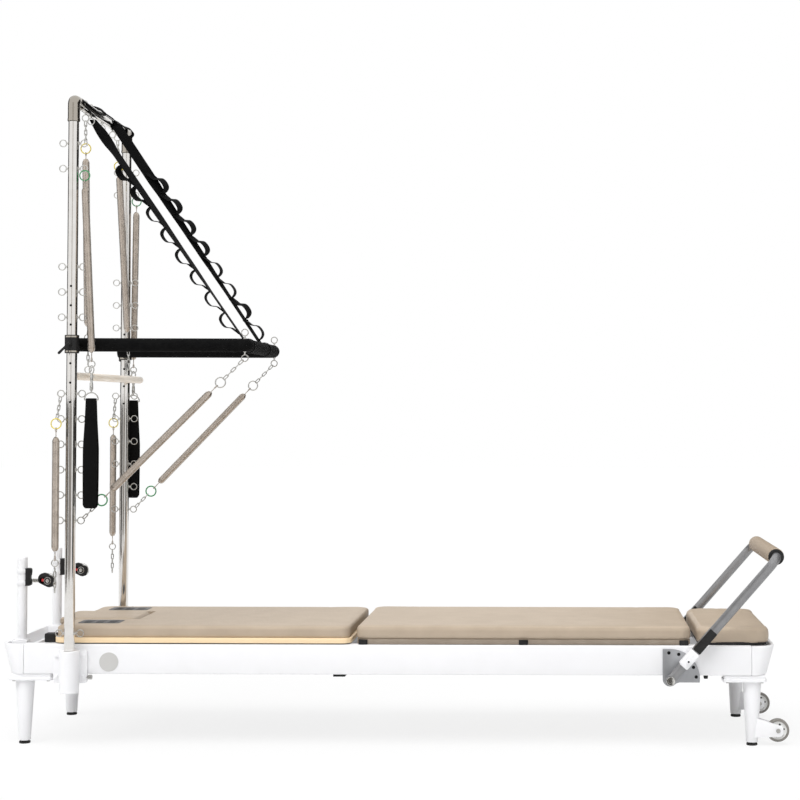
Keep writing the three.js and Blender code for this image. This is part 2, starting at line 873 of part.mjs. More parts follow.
// The outline of one loop, or of its inside, standing on the strap
function loopOutline(centre, base, halfLength, height) {
  const outline = new THREE.Shape();
  outline.moveTo(centre - halfLength, base);
  outline.bezierCurveTo(
    centre - halfLength * loopBulge, base + height * loopLift,
    centre + halfLength * loopBulge, base + height * loopLift,
    centre + halfLength, base,
  );
  return outline;
}

// The band that goes round a bar, in the same plane
function wrap(centre, radius, half) {
  const inner = around(radius + strapGap, wrapSides);
  const outer = inner + strapThickness;
  const profile = [[inner, -half], [outer, -half], [outer, half], [inner, half], [inner, -half]];
  return turned(profile, at(centre, 0, 0), alongZ, wrapSides);
}

function loopedStrap(topY, endY, firstLoop, way) {
  const half = strapWidth / 2;
  const flat = (shape, segments) => new THREE.ExtrudeGeometry(
    shape, { depth: strapWidth, bevelEnabled: false, curveSegments: segments },
  ).translate(0, 0, -half);
  const bandStart = postRadius + strapGap + strapThickness / 2;
  const bandEnd = strapSpan - pushRadius - strapGap - strapThickness / 2;
  const band = new THREE.Shape();
  band.moveTo(bandStart, -strapThickness / 2);
  band.lineTo(bandEnd, -strapThickness / 2);
  band.lineTo(bandEnd, strapThickness / 2);
  band.lineTo(bandStart, strapThickness / 2);
  const parts = [flat(band, 1), wrap(0, postRadius, half), wrap(strapSpan, pushRadius, half)];
  for (let centre = firstLoop; centre + loopHalfLength <= bandEnd; centre += loopPitch) {
    const outer = loopOutline(centre, 0, loopHalfLength, way * loopHeight);
    const inner = loopOutline(
      centre, way * strapThickness / 2, loopHalfLength - strapThickness * loopBulge,
      way * (loopHeight - strapThickness * loopWallShare),
    );
    parts.push(cut(flat(outer, loopSteps), flat(inner, loopSteps).scale(1, 1, 2)));
  }
  const joined = join(...parts);
  const [cos, sin] = [strapSpanX / strapSpan, strapSpanZ / strapSpan];
  return reshape(joined, (point) => {
    const [s, n, across] = [point.x, point.y, point.z];
    const y = topY + (endY - topY) * s / strapSpan - across;
    point.set(towerX + s * cos - n * sin, y, crossbarZ + s * sin + n * cos);
  });
}

piece("looped_strap_near", loopedStrap(nearStrapTopY, nearStrapEndY, nearLoopStart, -1), webbing);
piece("looped_strap_far", loopedStrap(farStrapTopY, farStrapEndY, farLoopStart, 1), webbing);

// A close-wound spring, as a strip wound from one square end to the other. The strip is clipped at both
// ends, so its first and last curls narrow to a wedge.
const coilInner = coilRadius - coilWire;

function coilSections(length) {
  const rise = (length - coilGap - 2 * coilTip) / (curlsPerSpring - 1);
  const half = (rise - coilGap) / 2;
  const count = curlsPerSpring * stepsPerCurl;
  return Array.from({ length: count + 1 }, (_, step) => {
    const middle = rise * step / stepsPerCurl - half + coilTip;
    const low = Math.max(0, middle - half);
    const high = Math.min(length, middle + half);
    return { angle: 2 * Math.PI * step / stepsPerCurl, low, high };
  });
}

// The strip's section has its broad face outside. Past each end it draws in to the axis and runs
// straight on as the spring's hook wire, to the given reach.
function coil(from, to, reachBefore, reachAfter) {
  const length = from.distanceTo(to);
  const sections = coilSections(length);
  const strip = sections.map(({ angle, low, high }) => [
    [coilInner, (low + high) / 2], [coilRadius, high], [coilRadius, low],
  ].map(([radius, height]) => at(radius * Math.cos(angle), radius * Math.sin(angle), height)));
  const wire = (angle, height) => [
    [-hookRadius, 0], [hookRadius, -hookRadius], [hookRadius, hookRadius],
  ].map(([outwards, onwards]) => at(
    outwards * Math.cos(angle) - onwards * Math.sin(angle),
    outwards * Math.sin(angle) + onwards * Math.cos(angle),
    height,
  ));
  const last = sections[sections.length - 1].angle;
  const rings = [
    wire(0, -reachBefore), wire(0, -endTaperLength), ...strip,
    wire(last, length + endTaperLength), wire(last, length + reachAfter),
  ];
  const faces = [];
  for (let step = 0; step + 1 < rings.length; step += 1) {
    for (let corner = 0; corner < 3; corner += 1) {
      const [a, b] = [3 * step + corner, 3 * step + (corner + 1) % 3];
      faces.push([a, b, b + 3], [a, b + 3, a + 3]);
    }
  }
  const end = 3 * (rings.length - 1);
  faces.push([0, 2, 1], [end, end + 1, end + 2]);
  const geometry = closedSurface(rings.flat(), faces);
  const way = towards(from, to);
  geometry.applyQuaternion(new THREE.Quaternion().setFromUnitVectors(alongZ, way));
  return geometry.translate(from.x, from.y, from.z);
}

// The least distance between one curl's edge and the next curl's, on points along both
function leastCoilGap(length) {
  const sections = coilSections(length);
  const samples = 24;
  const edge = (height) => sections.slice(0, -1).flatMap((section, step) => (
    Array.from({ length: samples }, (_, part) => {
      const next = sections[step + 1];
      const here = (a, b) => a + (b - a) * part / samples;
      return at(
        here(coilRadius * Math.cos(section.angle), coilRadius * Math.cos(next.angle)),
        here(coilRadius * Math.sin(section.angle), coilRadius * Math.sin(next.angle)),
        here(section[height], next[height]),
      );
    })
  ));
  const [tops, bottoms] = [edge("high"), edge("low")];
  const turn = stepsPerCurl * samples;
  return tops.reduce((least, top, i) => {
    const near = bottoms.slice(i + turn / 2, i + turn + turn / 2);
    return near.reduce((smallest, bottom) => Math.min(smallest, top.distanceTo(bottom)), least);
  }, Infinity);
}

function chain(from, to) {
  return rod(from, to, chainRadius, rodSides);
}

// The first link hooks through an eyebolt's ring, square to it
function hookLink(eyeCentre, way) {
  const wire = eyeCentre.clone().addScaledVector(way, eyeRadius);
  const clear = eyeWire + linkWire + hookPlay;
  return {
    centre: wire.clone().addScaledVector(way, linkRadius - clear),
    end: wire.clone().addScaledVector(way, 2 * linkRadius - clear),
  };
}

const along = (from, to, length) => from.clone().addScaledVector(towards(from, to), length);

function tagRing(centre, axis) {
  return ring(centre, axis, tagRingRadius, tagRingWire, tagSides, wireSides);
}

// Push-through springs, from the lower eyebolts to the bar's eyebolts
const rightEyeX = towerX + eyeReach;
const leftEyeX = towerX - eyeReach;
const pushEyeZ = pushZ - pushEyeDrop;
const springFrom = at(rightEyeX, towerY, eyeRowLow);
const springTo = at(pushEndX, pushY, pushEyeZ);
const springWay = towards(springFrom, springTo);
const springReach = springFrom.distanceTo(springTo);
const springPoint = (distance) => springFrom.clone().addScaledVector(springWay, distance);
const springLinkAxis = at(springWay.z, 0, -springWay.x).normalize();
const lowerTagAt = lowerChainLength + tagRingRadius;
const upperTagAt = springReach - upperChainLength - tagRingRadius;
const lowerCoilAt = lowerTagAt + tagRingRadius + hookReach;
const upperCoilAt = upperTagAt - tagRingRadius - hookReach;

function pushSpring() {
  const hook = hookLink(springFrom, springWay);
  return join(
    ring(hook.centre, springLinkAxis, linkRadius, linkWire, linkSides, wireSides),
    chain(hook.end.addScaledVector(springWay, -linkWire / 2), springPoint(lowerChainLength)),
    tagRing(springPoint(lowerTagAt), alongY),
    coil(springPoint(lowerCoilAt), springPoint(upperCoilAt), hookReach, hookReach - tagRingWire - 2 * gap),
  );
}

function pushSpringLink() {
  const backWay = springWay.clone().negate();
  const hook = hookLink(springTo, backWay);
  return join(
    ring(hook.centre, springLinkAxis, linkRadius, linkWire, linkSides, wireSides),
    chain(hook.end.addScaledVector(backWay, -linkWire / 2), springPoint(springReach - upperChainLength)),
    tagRing(springPoint(upperTagAt), alongY),
  );
}

onBothSides("push_spring", pushSpring(), steel);
onBothSides("push_spring_link", pushSpringLink(), steel);

// A spring that hangs from an eyebolt: link, chain, tag ring, coil, and a chain on to its lower end.
// The route gives the eye's centre, the tag ring's centre, the coil's two ends and the lower end.
function hangingSpring({ eye, tag, coilTop, coilFoot, end }, linkAxis, extra = []) {
  const down = at(0, 0, -1);
  const hook = hookLink(eye, down);
  const tagTop = tag.clone().addScaledVector(towards(hook.end, tag), -tagRingRadius);
  const coilWay = towards(coilTop, coilFoot);
  const lead = tag.distanceTo(coilTop) - tagRingRadius;
  return join(
    ring(hook.centre, linkAxis, linkRadius, linkWire, linkSides, wireSides),
    chain(hook.end.clone().addScaledVector(down, -linkWire / 2), tagTop),
    tagRing(tag, alongY),
    coil(coilTop, coilFoot, lead, hookReach),
    chain(coilFoot.clone().addScaledVector(coilWay, hookReach - hookRadius), end),
    ...extra,
  );
}

const onLine = (from, to, z) => from.clone().lerp(to, (from.z - z) / (from.z - to.z));

// Leg springs at the head side, leaning on the outer faces of the eyebolts below their own
const legSpringY = towerY + eyeWire + coilRadius + 2 * gap;
const legEye = at(leftEyeX, towerY, eyeRowLegSpring);
const legTag = at(leftEyeX - legSpringLean, legSpringY, legTagZ);
const legRoute = {
  eye: legEye,
  tag: legTag,
  coilTop: at(leftEyeX - legSpringLean, legSpringY, legTagZ - tagRingRadius - hookReach),
  coilFoot: at(leftEyeX - legSpringLean, legSpringY, legCoilFootZ),
  end: at(leftEyeX - legSpringLean, legSpringY, legEndZ),
};
const legLowerRing = ring(
  at(leftEyeX - legSpringLean, legSpringY, legCoilFootZ - hookReach - eyeRadius), alongY,
  eyeRadius, eyeWire, ringSides, wireSides,
);
onBothSides("leg_spring", hangingSpring(legRoute, alongX, [legLowerRing]), steel);

// Foot straps: a spring from a high eyebolt, a hook and a D ring, and a webbing loop through the D ring.
// The near one hangs in the plane of the eyebolts and leans past them, the far one hangs outside them.

function dRing(centre) {
  const outer = new THREE.Shape();
  const inner = new THREE.Shape();
  const wireHalf = dRingWire / 2;
  outer.moveTo(-dRingHalfWidth, -dRingWire);
  outer.lineTo(dRingHalfWidth, -dRingWire);
  outer.lineTo(dRingHalfWidth, 0);
  outer.absarc(0, 0, dRingHalfWidth, 0, Math.PI);
  inner.moveTo(-dRingHalfWidth + dRingWire, 0);
  inner.lineTo(dRingHalfWidth - dRingWire, 0);
  inner.absarc(0, 0, dRingHalfWidth - dRingWire, 0, Math.PI);
  const whole = upright(outer, -wireHalf, wireHalf, ringArcSteps);
  const middle = upright(inner, -wireHalf - cutOverrun, wireHalf + cutOverrun, ringArcSteps);
  return cut(whole, middle).translate(centre.x, centre.y, centre.z);
}

function footStrap(centre) {
  const half = footStrapDepth / 2;
  const neck = footStrapNeck / 2;
  const top = -dRingWire / 2;
  const outline = (inset) => {
    const shape = new THREE.Shape();
    shape.moveTo(-neck + inset, top - footStrapLength * strapSeamShare);
    shape.lineTo(-neck + inset, top);
    shape.absarc(0, top, neck - inset, Math.PI, 0, true);
    shape.lineTo(neck - inset, top - footStrapLength * strapSeamShare);
    shape.lineTo(half - inset, top - footStrapLength * strapMiddleShare);
    shape.lineTo(half - inset, top - footStrapLength + half);
    shape.absarc(0, top - footStrapLength + half, half - inset, 0, -Math.PI, true);
    shape.lineTo(-half + inset, top - footStrapLength * strapMiddleShare);
    return shape;
  };
  const span = footStrapWidth / 2;
  const solid = (inset, reach) => new THREE.ExtrudeGeometry(
    outline(inset), { depth: 2 * reach, bevelEnabled: false, curveSegments: ringArcSteps },
  ).translate(0, 0, -reach);
  const band = cut(solid(0, span), solid(footStrapThickness / 2, span + cutOverrun));
  return reshape(band, (point) => {
    const [y, z, x] = [point.x, point.y, point.z];
    const share = Math.min(1, (top - z) / (footStrapLength * strapMiddleShare));
    const width = footStrapTopWidth + (footStrapWidth - footStrapTopWidth) * Math.max(0, share);
    point.set(centre.x + x * width / footStrapWidth, centre.y + y, centre.z + z);
  });
}

function footStrapSet(side, lean, outwards) {
  const y = side.sign * towerY;
  const eye = at(rightEyeX, y, eyeRowHigh);
  const tag = at(rightEyeX + lean.tag, y + side.sign * outwards.tag, strapTagZ);
  const foot = at(rightEyeX + lean.foot, y + side.sign * outwards.foot, strapCoilFootZ);
  const coilTop = along(tag, foot, tagRingRadius + hookReach);
  const hookEnd = at(foot.x, foot.y, strapCoilFootZ - hookReach - footHookLength);
  const centre = at(hookEnd.x, hookEnd.y, hookEnd.z - dRingHalfWidth + dRingWire / 2);
  const hookRing = ring(
    at(foot.x, foot.y, strapCoilFootZ - hookReach - eyeRadius), alongY,
    eyeRadius, eyeWire, ringSides, wireSides,
  );
  const route = { eye, tag, coilTop, coilFoot: foot, end: hookEnd };
  piece("foot_strap_spring_" + side.name, hangingSpring(route, alongX, [hookRing, dRing(centre)]), steel);
  piece("foot_strap_" + side.name, footStrap(centre), webbing);
}

footStrapSet(sides[0], nearStrapLean, nearStrapOutwards);
footStrapSet(sides[1], farStrapLean, farStrapOutwards);

// Roll-down bar: a wooden bar with two eyes, on springs from the crossbar. It hangs a little askew.
const rollTurn = rollBarSkew / rollBarLength * 2;
const rollWay = at(Math.sin(rollTurn), Math.cos(rollTurn), 0);
const rollCentre = at(rollBarX, 0, rollBarZ);
const rollPoint = (distance) => rollCentre.clone().addScaledVector(rollWay, distance);
const rollEyeDrop = rollBarRadius + eyeRadius;

function rollDownBar() {
  const eyes = sides.map((side) => ring(
    rollPoint(side.sign * rollBarEyeY).add(at(0, 0, rollEyeDrop)), rollWay,
    eyeRadius, eyeWire, ringSides, wireSides,
  ));
  const wood = rod(rollPoint(-rollBarLength / 2), rollPoint(rollBarLength / 2), rollBarRadius, roundSides);
  return join(wood, ...eyes);
}

piece("roll_down_bar", rollDownBar(), maple);

for (const side of sides) {
  const eye = at(towerX, side.sign * crossbarEyeY, crossbarZ - eyeReach);
  const barEye = rollPoint(side.sign * rollBarEyeY).add(at(0, 0, rollEyeDrop + eyeRadius));
  const tag = onLine(eye, barEye, rollTagZ);
  const coilTop = along(tag, barEye, tagRingRadius + hookReach);
  const coilFoot = onLine(eye, barEye, rollCoilFootZ);
  const end = barEye.clone().add(at(0, 0, linkRadius + eyeWire));
  const catchLink = ring(
    barEye.clone().add(at(0, 0, linkRadius - eyeWire - linkWire - hookPlay)), alongX,
    linkRadius, linkWire, linkSides, wireSides,
  );
  const route = { eye, tag, coilTop, coilFoot, end };
  piece("roll_down_spring_" + side.name, hangingSpring(route, alongX, [catchLink]), steel);
}

// Carriage: a birch deck on runners, its pad with a recess for the headrest, and the headrest itself
const deckTop = deckBottom + deckThickness;
const padBottom = deckTop + gap;

// A cushion: a closed form with a crown, rounded edges and long sides that draw in between the corners
function cushion(x0, x1, halfWidth, bottom, top, corner) {
  const [middleX, halfLength] = [(x0 + x1) / 2, (x1 - x0) / 2];
  const outline = cushionOutline(halfLength, halfWidth, corner);
  const height = top - padCrown - bottom;
  const rows = [
    { share: 1, z: bottom },
    { share: 1, z: bottom + height / 2, bulge: padDrawIn / 2 },
    { share: 1, z: bottom + height - padEdgeRadius, bulge: 0 },
    { share: 1, z: bottom + height, inset: padEdgeRadius / 2 },
    { share: 1, z: bottom + height + padCrown / 2, inset: padEdgeRadius * 2 },
    { share: cushionCrownShare, z: top, inset: padEdgeRadius * 2 },
  ];
  const points = [];
  for (const { share, z, inset = 0, bulge = 0 } of rows) {
    for (const { x, y } of outline) {
      const scaleX = (halfLength - inset + bulge) / halfLength * share;
      const scaleY = (halfWidth - inset + bulge) / halfWidth * share;
      points.push(at(middleX + x * scaleX, y * scaleY, z));
    }
  }
  const count = outline.length;
  const faces = [];
  for (let row = 0; row + 1 < rows.length; row += 1) {
    for (let step = 0; step < count; step += 1) {
      const [a, b] = [row * count + step, row * count + (step + 1) % count];
      faces.push([a, b, b + count], [a, b + count, a + count]);
    }
  }
  const lid = points.push(at(middleX, 0, top)) - 1;
  const base = points.push(at(middleX, 0, bottom)) - 1;
  const topRow = (rows.length - 1) * count;
  for (let step = 0; step < count; step += 1) {
    const next = (step + 1) % count;
    faces.push([lid, topRow + step, topRow + next], [base, next, step]);
  }
  return closedSurface(points, faces);
}

function cushionOutline(halfLength, halfWidth, corner) {
  const points = [];
  const corners = [[1, 1], [-1, 1], [-1, -1], [1, -1]];
  corners.forEach(([sx, sy], quarter) => {
    for (let step = 0; step <= cornerSteps; step += 1) {
      const turn = (quarter + step / cornerSteps) * Math.PI / 2;
      points.push({
        x: sx * (halfLength - corner) + corner * Math.cos(turn),
        y: sy * (halfWidth - corner) + corner * Math.sin(turn),
      });
    }
    const alongSide = quarter % 2 === 0;
    for (const share of sideShares) {
      points.push(alongSide
        ? { x: sx * (halfLength - corner) * share, y: sy * (halfWidth - padDrawIn * (1 - share * share)) }
        : { x: sx * (halfLength - padDrawIn * (1 - share * share)), y: sy * (halfWidth - corner) * share });
    }
  });
  return points;
}

function carriageDeck() {
  const deck = slab(
    roundedOutline(deckHead, deckFoot, -deckHalfWidth, deckHalfWidth, deckCorner), deckBottom, deckTop,
    endCornerSteps,
  );
  const runners = sides.flatMap((side) => ends.map((end) => {
    const middle = end.sign < 0 ? deckHead + runnerInset : deckFoot - runnerInset;
    const outer = railInner - 2 * gap;
    return box(
      middle - runnerLength / 2, middle + runnerLength / 2,
      side.sign * outer, side.sign * (outer - runnerWidth), ledgeTop + gap, deckBottom + deckThickness / 2,
    );
  }));
  const bumperFace = deckHead - bumperStandOff;
  const bumpers = sides.map((side) => {
    const y = side.sign * bumperY;
    const [low, high] = [y - bumperWidth / 2, y + bumperWidth / 2];
    const tongue = deckBottom + deckThickness / 2;
    return join(
      box(bumperFace - bumperLength, bumperFace, low, high, bumperBottom, bumperTop),
      box(deckHead - bumperLength, deckHead + bumperLength, low, high, bumperBottom, tongue),
    );
  });
  return join(deck, ...runners, ...bumpers);
}

piece("carriage_deck", carriageDeck(), birch);

const headrestTop = padTop + headrestProud;
const headrestBottom = headrestTop - headrestThickness;
const recessHalfWidth = headrestHalfWidth + headrestPlay;
const recess = box(
  headrestHead, headrestFoot + headrestPlay, -recessHalfWidth, recessHalfWidth,
  headrestBottom - gap, padTop + cutOverrun,
);
const padForm = cushion(deckHead, deckFoot, deckHalfWidth, padBottom, padTop, deckCorner);
piece("carriage_pad", cut(padForm, recess), leather);

function headrest() {
  const geometry = cushion(
    headrestHead, headrestFoot, headrestHalfWidth, headrestBottom, headrestTop, headrestCorner,
  );
  return reshape(geometry, (point) => {
    const share = (point.z - headrestBottom) / headrestThickness;
    const reach = (point.x - headrestHead) / (headrestFoot - headrestHead);
    if (reach > headrestBevelShare) point.x -= headrestBevel * share;
  });
}

piece("headrest", headrest(), leather);

// Mat cushion on a board with six feet on the rails, and the foot cushion over the foot end
const matFootBottom = railTop + gap;
const matFootTop = matFootBottom + matFootHeight;
const matBoardTop = matFootTop + matBoard;

function matBase() {
  const board = slab(
    roundedOutline(
      matHead + matFootInset / 2, matFoot - matFootInset / 2,
      -deckHalfWidth + matFootInset / 2, deckHalfWidth - matFootInset / 2, deckCorner,
    ), matFootTop - cutOverrun, matBoardTop, plateCornerSteps,
  );
  const places = [matHead + matFootInset, (matHead + matFoot) / 2, matFoot - matFootInset];
  const feet = sides.flatMap((side) => places.map((x) => {
    const y = side.sign * (frameHalfWidth - railWidth / 2);
    return box(
      x - matFootLength / 2, x + matFootLength / 2, y - matFootWidth / 2, y + matFootWidth / 2,
      matFootBottom, matFootTop,
    );
  }));
  return join(board, ...feet);
}

piece("mat_base", matBase(), blackPlastic);
const matForm = cushion(matHead, matFoot, deckHalfWidth, matBoardTop + gap, matTop, deckCorner);
piece("mat_cushion", matForm, leather);
piece("foot_cushion", join(
  cushion(footCushionHead, footCushionFoot, deckHalfWidth, footCushionBottom, footCushionTop, cushionCorner),
  box(
    footCushionHead + matFootInset, footCushionFoot - cushionCorner,
    -deckHalfWidth + matFootInset, deckHalfWidth - matFootInset,
    railTop + gap, footCushionBottom + padEdgeRadius,
  ),
), leather);

// Foot bar: a bent tube on studs outside the rails, with its grip, its holed quadrants and lock pins
const footWay = (turn) => at(Math.cos(turn * degrees), 0, Math.sin(turn * degrees));
const footPivot = at(footPivotX, footArmY, footPivotZ);
const footPoint = (distance) => footPivot.clone().addScaledVector(footWay(footArmAngle), distance);
const quadrantFace = frameHalfWidth + gap;
const quadrantOuter = quadrantFace + quadrantThickness;
const lockKnobFace = footArmY + housingHalfDepth + gap + lockTravel;

function quadrant() {
  const shape = new THREE.Shape();
  shape.moveTo(footPivotX - quadrantMargin, footPivotZ - quadrantMargin * quadrantChamferShare);
  shape.lineTo(footPivotX - quadrantMargin * quadrantChamferShare, footPivotZ - quadrantMargin);
  shape.lineTo(footPivotX + quadrantRadius, footPivotZ - quadrantMargin);
  shape.lineTo(footPivotX + quadrantRadius, footPivotZ);
  shape.absarc(footPivotX, footPivotZ, quadrantRadius, 0, Math.PI / 2);
  shape.lineTo(footPivotX - quadrantMargin, footPivotZ + quadrantRadius);
  const plate = upright(shape, quadrantFace, quadrantOuter, quadrantArcSteps);
  const capInner = footArmY + footTubeRadius + gap;
  const onPivot = (y) => at(footPivotX, y, footPivotZ);
  const plateMiddle = quadrantFace + quadrantThickness / 2;
  const stud = rod(onPivot(plateMiddle), onPivot(capInner + cutOverrun), pivotStudRadius, pinSides);
  const cap = rod(onPivot(capInner), onPivot(capInner + pivotCapThickness), pivotCapRadius, smallSides);
  const holes = footStops.map((step) => {
    const way = footWay(footArmAngle + step * footHoleStep);
    const hole = footPivot.clone().addScaledVector(way, footHoleCircle);
    return rod(
      at(hole.x, quadrantFace - cutOverrun, hole.z), at(hole.x, quadrantOuter + cutOverrun, hole.z),
      footHoleRadius, holeSides,
    );
  });
  return cut(join(plate, stud, cap), ...holes);
}

onBothSides("foot_bar_quadrant", quadrant(), darkSteel);

function footBar() {
  const end = footPoint(footArmLength);
  const hub = footArmY - footTubeRadius;
  const parts = sides.flatMap((side) => {
    const flip = (point) => at(point.x, side.sign * point.y, point.z);
    const onPivot = (y) => at(footPivotX, side.sign * y, footPivotZ);
    return [
      rod(flip(footPoint(0)), flip(end), footTubeRadius, pinSides),
      ball(flip(end), footTubeRadius, pinSides),
      rod(onPivot(hub), onPivot(footArmY + footTubeRadius), footTubeRadius, pinSides),
      rod(flip(footPoint(sleeveStart)), flip(footPoint(sleeveStart + sleeveLength)), sleeveRadius, pinSides),
      housing().applyMatrix4(new THREE.Matrix4().makeScale(1, side.sign, 1)),
    ];
  });
  parts.push(rod(at(end.x, -footArmY, end.z), at(end.x, footArmY, end.z), footTubeRadius, pinSides));
  const bores = sides.flatMap((side) => [
    { centre: footPoint(0), radius: pivotStudRadius + gap },
    { centre: footPoint(footHoleCircle), radius: lockPinRadius + gap },
  ].map(({ centre, radius }) => bore(
    at(centre.x, side.sign * (hub - housingSize), centre.z),
    at(centre.x, side.sign * (footArmY + housingSize), centre.z),
    radius, leverSides,
  )));
  return cut(join(...parts.map(facingOut)), ...bores);
}

// A mirrored shape has its faces turned back outwards
function facingOut(geometry) {
  const flat = geometry.index ? geometry.toNonIndexed() : geometry;
  const place = flat.attributes.position;
  const corners = [at(0, 0, 0), at(0, 0, 0), at(0, 0, 0)];
  let volume = 0;
  for (let i = 0; i < place.count; i += 3) {
    corners.forEach((corner, k) => corner.fromBufferAttribute(place, i + k));
    volume += corners[0].dot(corners[1].clone().cross(corners[2]));
  }
  if (volume > 0) return flat;
  for (let i = 0; i < place.count; i += 3) {
    corners.forEach((corner, k) => corner.fromBufferAttribute(place, i + k));
    const [, second, third] = corners;
    place.setXYZ(i + 1, third.x, third.y, third.z);
    place.setXYZ(i + 2, second.x, second.y, second.z);
  }
  return flat;
}

function housing() {
  const geometry = new THREE.BoxGeometry(housingSize, housingSize, housingSize);
  const inner = quadrantOuter + gap;
  const outer = footArmY + housingHalfDepth;
  geometry.scale(1, (outer - inner) / housingSize, 1);
  geometry.rotateY(-footArmAngle * degrees);
  const centre = footPoint(footHoleCircle);
  return geometry.translate(centre.x, (inner + outer) / 2, centre.z);
}

piece("foot_bar", footBar(), darkSteel);

const gripCentre = footPoint(footArmLength);
const gripBore = around(footTubeRadius + gap, roundSides);
piece("foot_bar_grip", turned([
  [gripBore, -gripHalfLength],
  [gripRadius, -gripHalfLength],
  [gripRadius, gripHalfLength],
  [gripBore, gripHalfLength],
  [gripBore, -gripHalfLength],
], at(gripCentre.x, 0, gripCentre.z), alongY, roundSides), leather);

function lockPin() {
  const centre = footPoint(footHoleCircle);
  const inLine = (y) => at(centre.x, y, centre.z);
  return join(
    rod(inLine(quadrantOuter + gap), inLine(lockKnobFace + cutOverrun), lockPinRadius, pinSides),
    rod(inLine(lockKnobFace), inLine(lockKnobFace + lockKnobLength), lockKnobRadius, smallSides),
  );
}

onBothSides("foot_bar_lock_pin", lockPin(), steel);

// Risers in their sockets, each with a plate that a sprung pulley stands out from
const neckStart = riserX + riserRadius + baseThickness;
const neckEnd = neckStart + neckLength;
const sheaveX = neckEnd + cheekRadius;
const sheaveBore = around(sheavePinRadius + gap, roundSides);

function riser() {
  const post = rod(at(riserX, riserY, riserBottom), at(riserX, riserY, riserTop), riserRadius, roundSides);
  const plate = box(
    riserX, neckStart, riserY - baseHalfWidth, riserY + baseHalfWidth,
    pulleyZ + baseOffset - baseHalfHeight, pulleyZ + baseOffset + baseHalfHeight,
  );
  const socket = bore(
    at(neckStart - baseThickness / 2, riserY, pulleyZ), at(neckStart + cutOverrun, riserY, pulleyZ),
    neckRadius / 2 + gap, pinSides,
  );
  return cut(join(post, plate), socket);
}

onBothSides("rope_riser", riser(), whitePaint);

function pulleyBlock() {
  const cheekInner = sheaveWidth / 2 + cheekPlay;
  const cheekOuter = cheekInner + cheekThickness;
  const cheeks = [-1, 1].map((way) => rod(
    at(sheaveX, riserY + way * cheekInner, pulleyZ), at(sheaveX, riserY + way * cheekOuter, pulleyZ),
    cheekRadius, roundSides,
  ));
  const bridge = box(
    neckEnd - cutOverrun, sheaveX - sheaveRadius - cheekPlay, riserY - cheekOuter, riserY + cheekOuter,
    pulleyZ - neckRadius, pulleyZ + neckRadius,
  );
  const neck = rod(at(neckStart + gap, riserY, pulleyZ), at(neckEnd, riserY, pulleyZ), neckRadius, pinSides);
  const spigot = rod(
    at(neckStart - baseThickness / 2 + gap, riserY, pulleyZ), at(neckEnd, riserY, pulleyZ),
    neckRadius / 2, pinSides,
  );
  const pin = rod(
    at(sheaveX, riserY - cheekOuter, pulleyZ), at(sheaveX, riserY + cheekOuter, pulleyZ),
    sheavePinRadius, leverSides,
  );
  return join(...cheeks, bridge, neck, spigot, pin);
}

onBothSides("pulley_block", pulleyBlock(), blackPlastic);
onBothSides("pulley_sheave", turned([
  [sheaveBore, -sheaveWidth / 2],
  [sheaveRadius, -sheaveWidth / 2],
  [sheaveRadius - sheaveGroove, 0],
  [sheaveRadius, sheaveWidth / 2],
  [sheaveBore, sheaveWidth / 2],
  [sheaveBore, -sheaveWidth / 2],
], at(sheaveX, riserY, pulleyZ), alongY, roundSides), wheelPlastic);

// The origin is the centre of the unit's box, on the floor
const footReach = wheelX + wheelRadius;
unit.position.x = (endOuter - footReach) / 2;

const coilLengths = [
  upperCoilAt - lowerCoilAt, legRoute.coilTop.z - legCoilFootZ,
  strapTagZ - strapCoilFootZ, rollTagZ - rollCoilFootZ,
];
const leastGap = Math.min(...coilLengths.map(leastCoilGap));
console.log("least gap between the curls of a spring: " + leastGap.toFixed(2) + " mm");

export default unit;
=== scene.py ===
import math

import bmesh
import bpy
from mathutils import Matrix, Vector


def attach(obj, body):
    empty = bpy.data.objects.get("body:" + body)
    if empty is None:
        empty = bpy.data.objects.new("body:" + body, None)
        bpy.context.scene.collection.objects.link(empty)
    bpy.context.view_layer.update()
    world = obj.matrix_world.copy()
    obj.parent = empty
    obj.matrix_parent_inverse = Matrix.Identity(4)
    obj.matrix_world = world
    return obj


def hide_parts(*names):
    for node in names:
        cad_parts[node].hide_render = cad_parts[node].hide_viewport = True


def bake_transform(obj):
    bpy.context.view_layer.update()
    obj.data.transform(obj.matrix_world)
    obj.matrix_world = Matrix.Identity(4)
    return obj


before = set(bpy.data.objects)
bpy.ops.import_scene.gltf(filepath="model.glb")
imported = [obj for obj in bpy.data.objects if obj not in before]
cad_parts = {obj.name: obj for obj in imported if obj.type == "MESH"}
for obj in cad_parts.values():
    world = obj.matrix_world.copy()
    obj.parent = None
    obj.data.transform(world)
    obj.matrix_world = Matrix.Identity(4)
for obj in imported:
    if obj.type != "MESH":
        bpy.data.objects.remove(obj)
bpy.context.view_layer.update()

# The camera stands six metres off the near side, at the height of the push-through bar's springs, and looks
# slightly up. Its shift is the crop of the square photograph, which holds the unit below and right of centre.
PHOTO_SIDE = 800
FOCAL_PIXELS = 1754.487
SENSOR_MM = 36
PRINCIPAL_POINT = (565.18, 380.10)
CAMERA_PLACE = (0.55072, -6.02518, 1.071047)
CAMERA_PITCH, CAMERA_ROLL = 91.17926, 0.162345
camera_data = bpy.data.cameras.new("camera")
camera_data.sensor_width = SENSOR_MM
camera_data.lens = FOCAL_PIXELS * SENSOR_MM / PHOTO_SIDE
camera_data.shift_x = (PHOTO_SIDE / 2 - PRINCIPAL_POINT[0]) / PHOTO_SIDE
camera_data.shift_y = (PRINCIPAL_POINT[1] - PHOTO_SIDE / 2) / PHOTO_SIDE
camera = bpy.data.objects.new("camera", camera_data)
bpy.context.scene.collection.objects.link(camera)
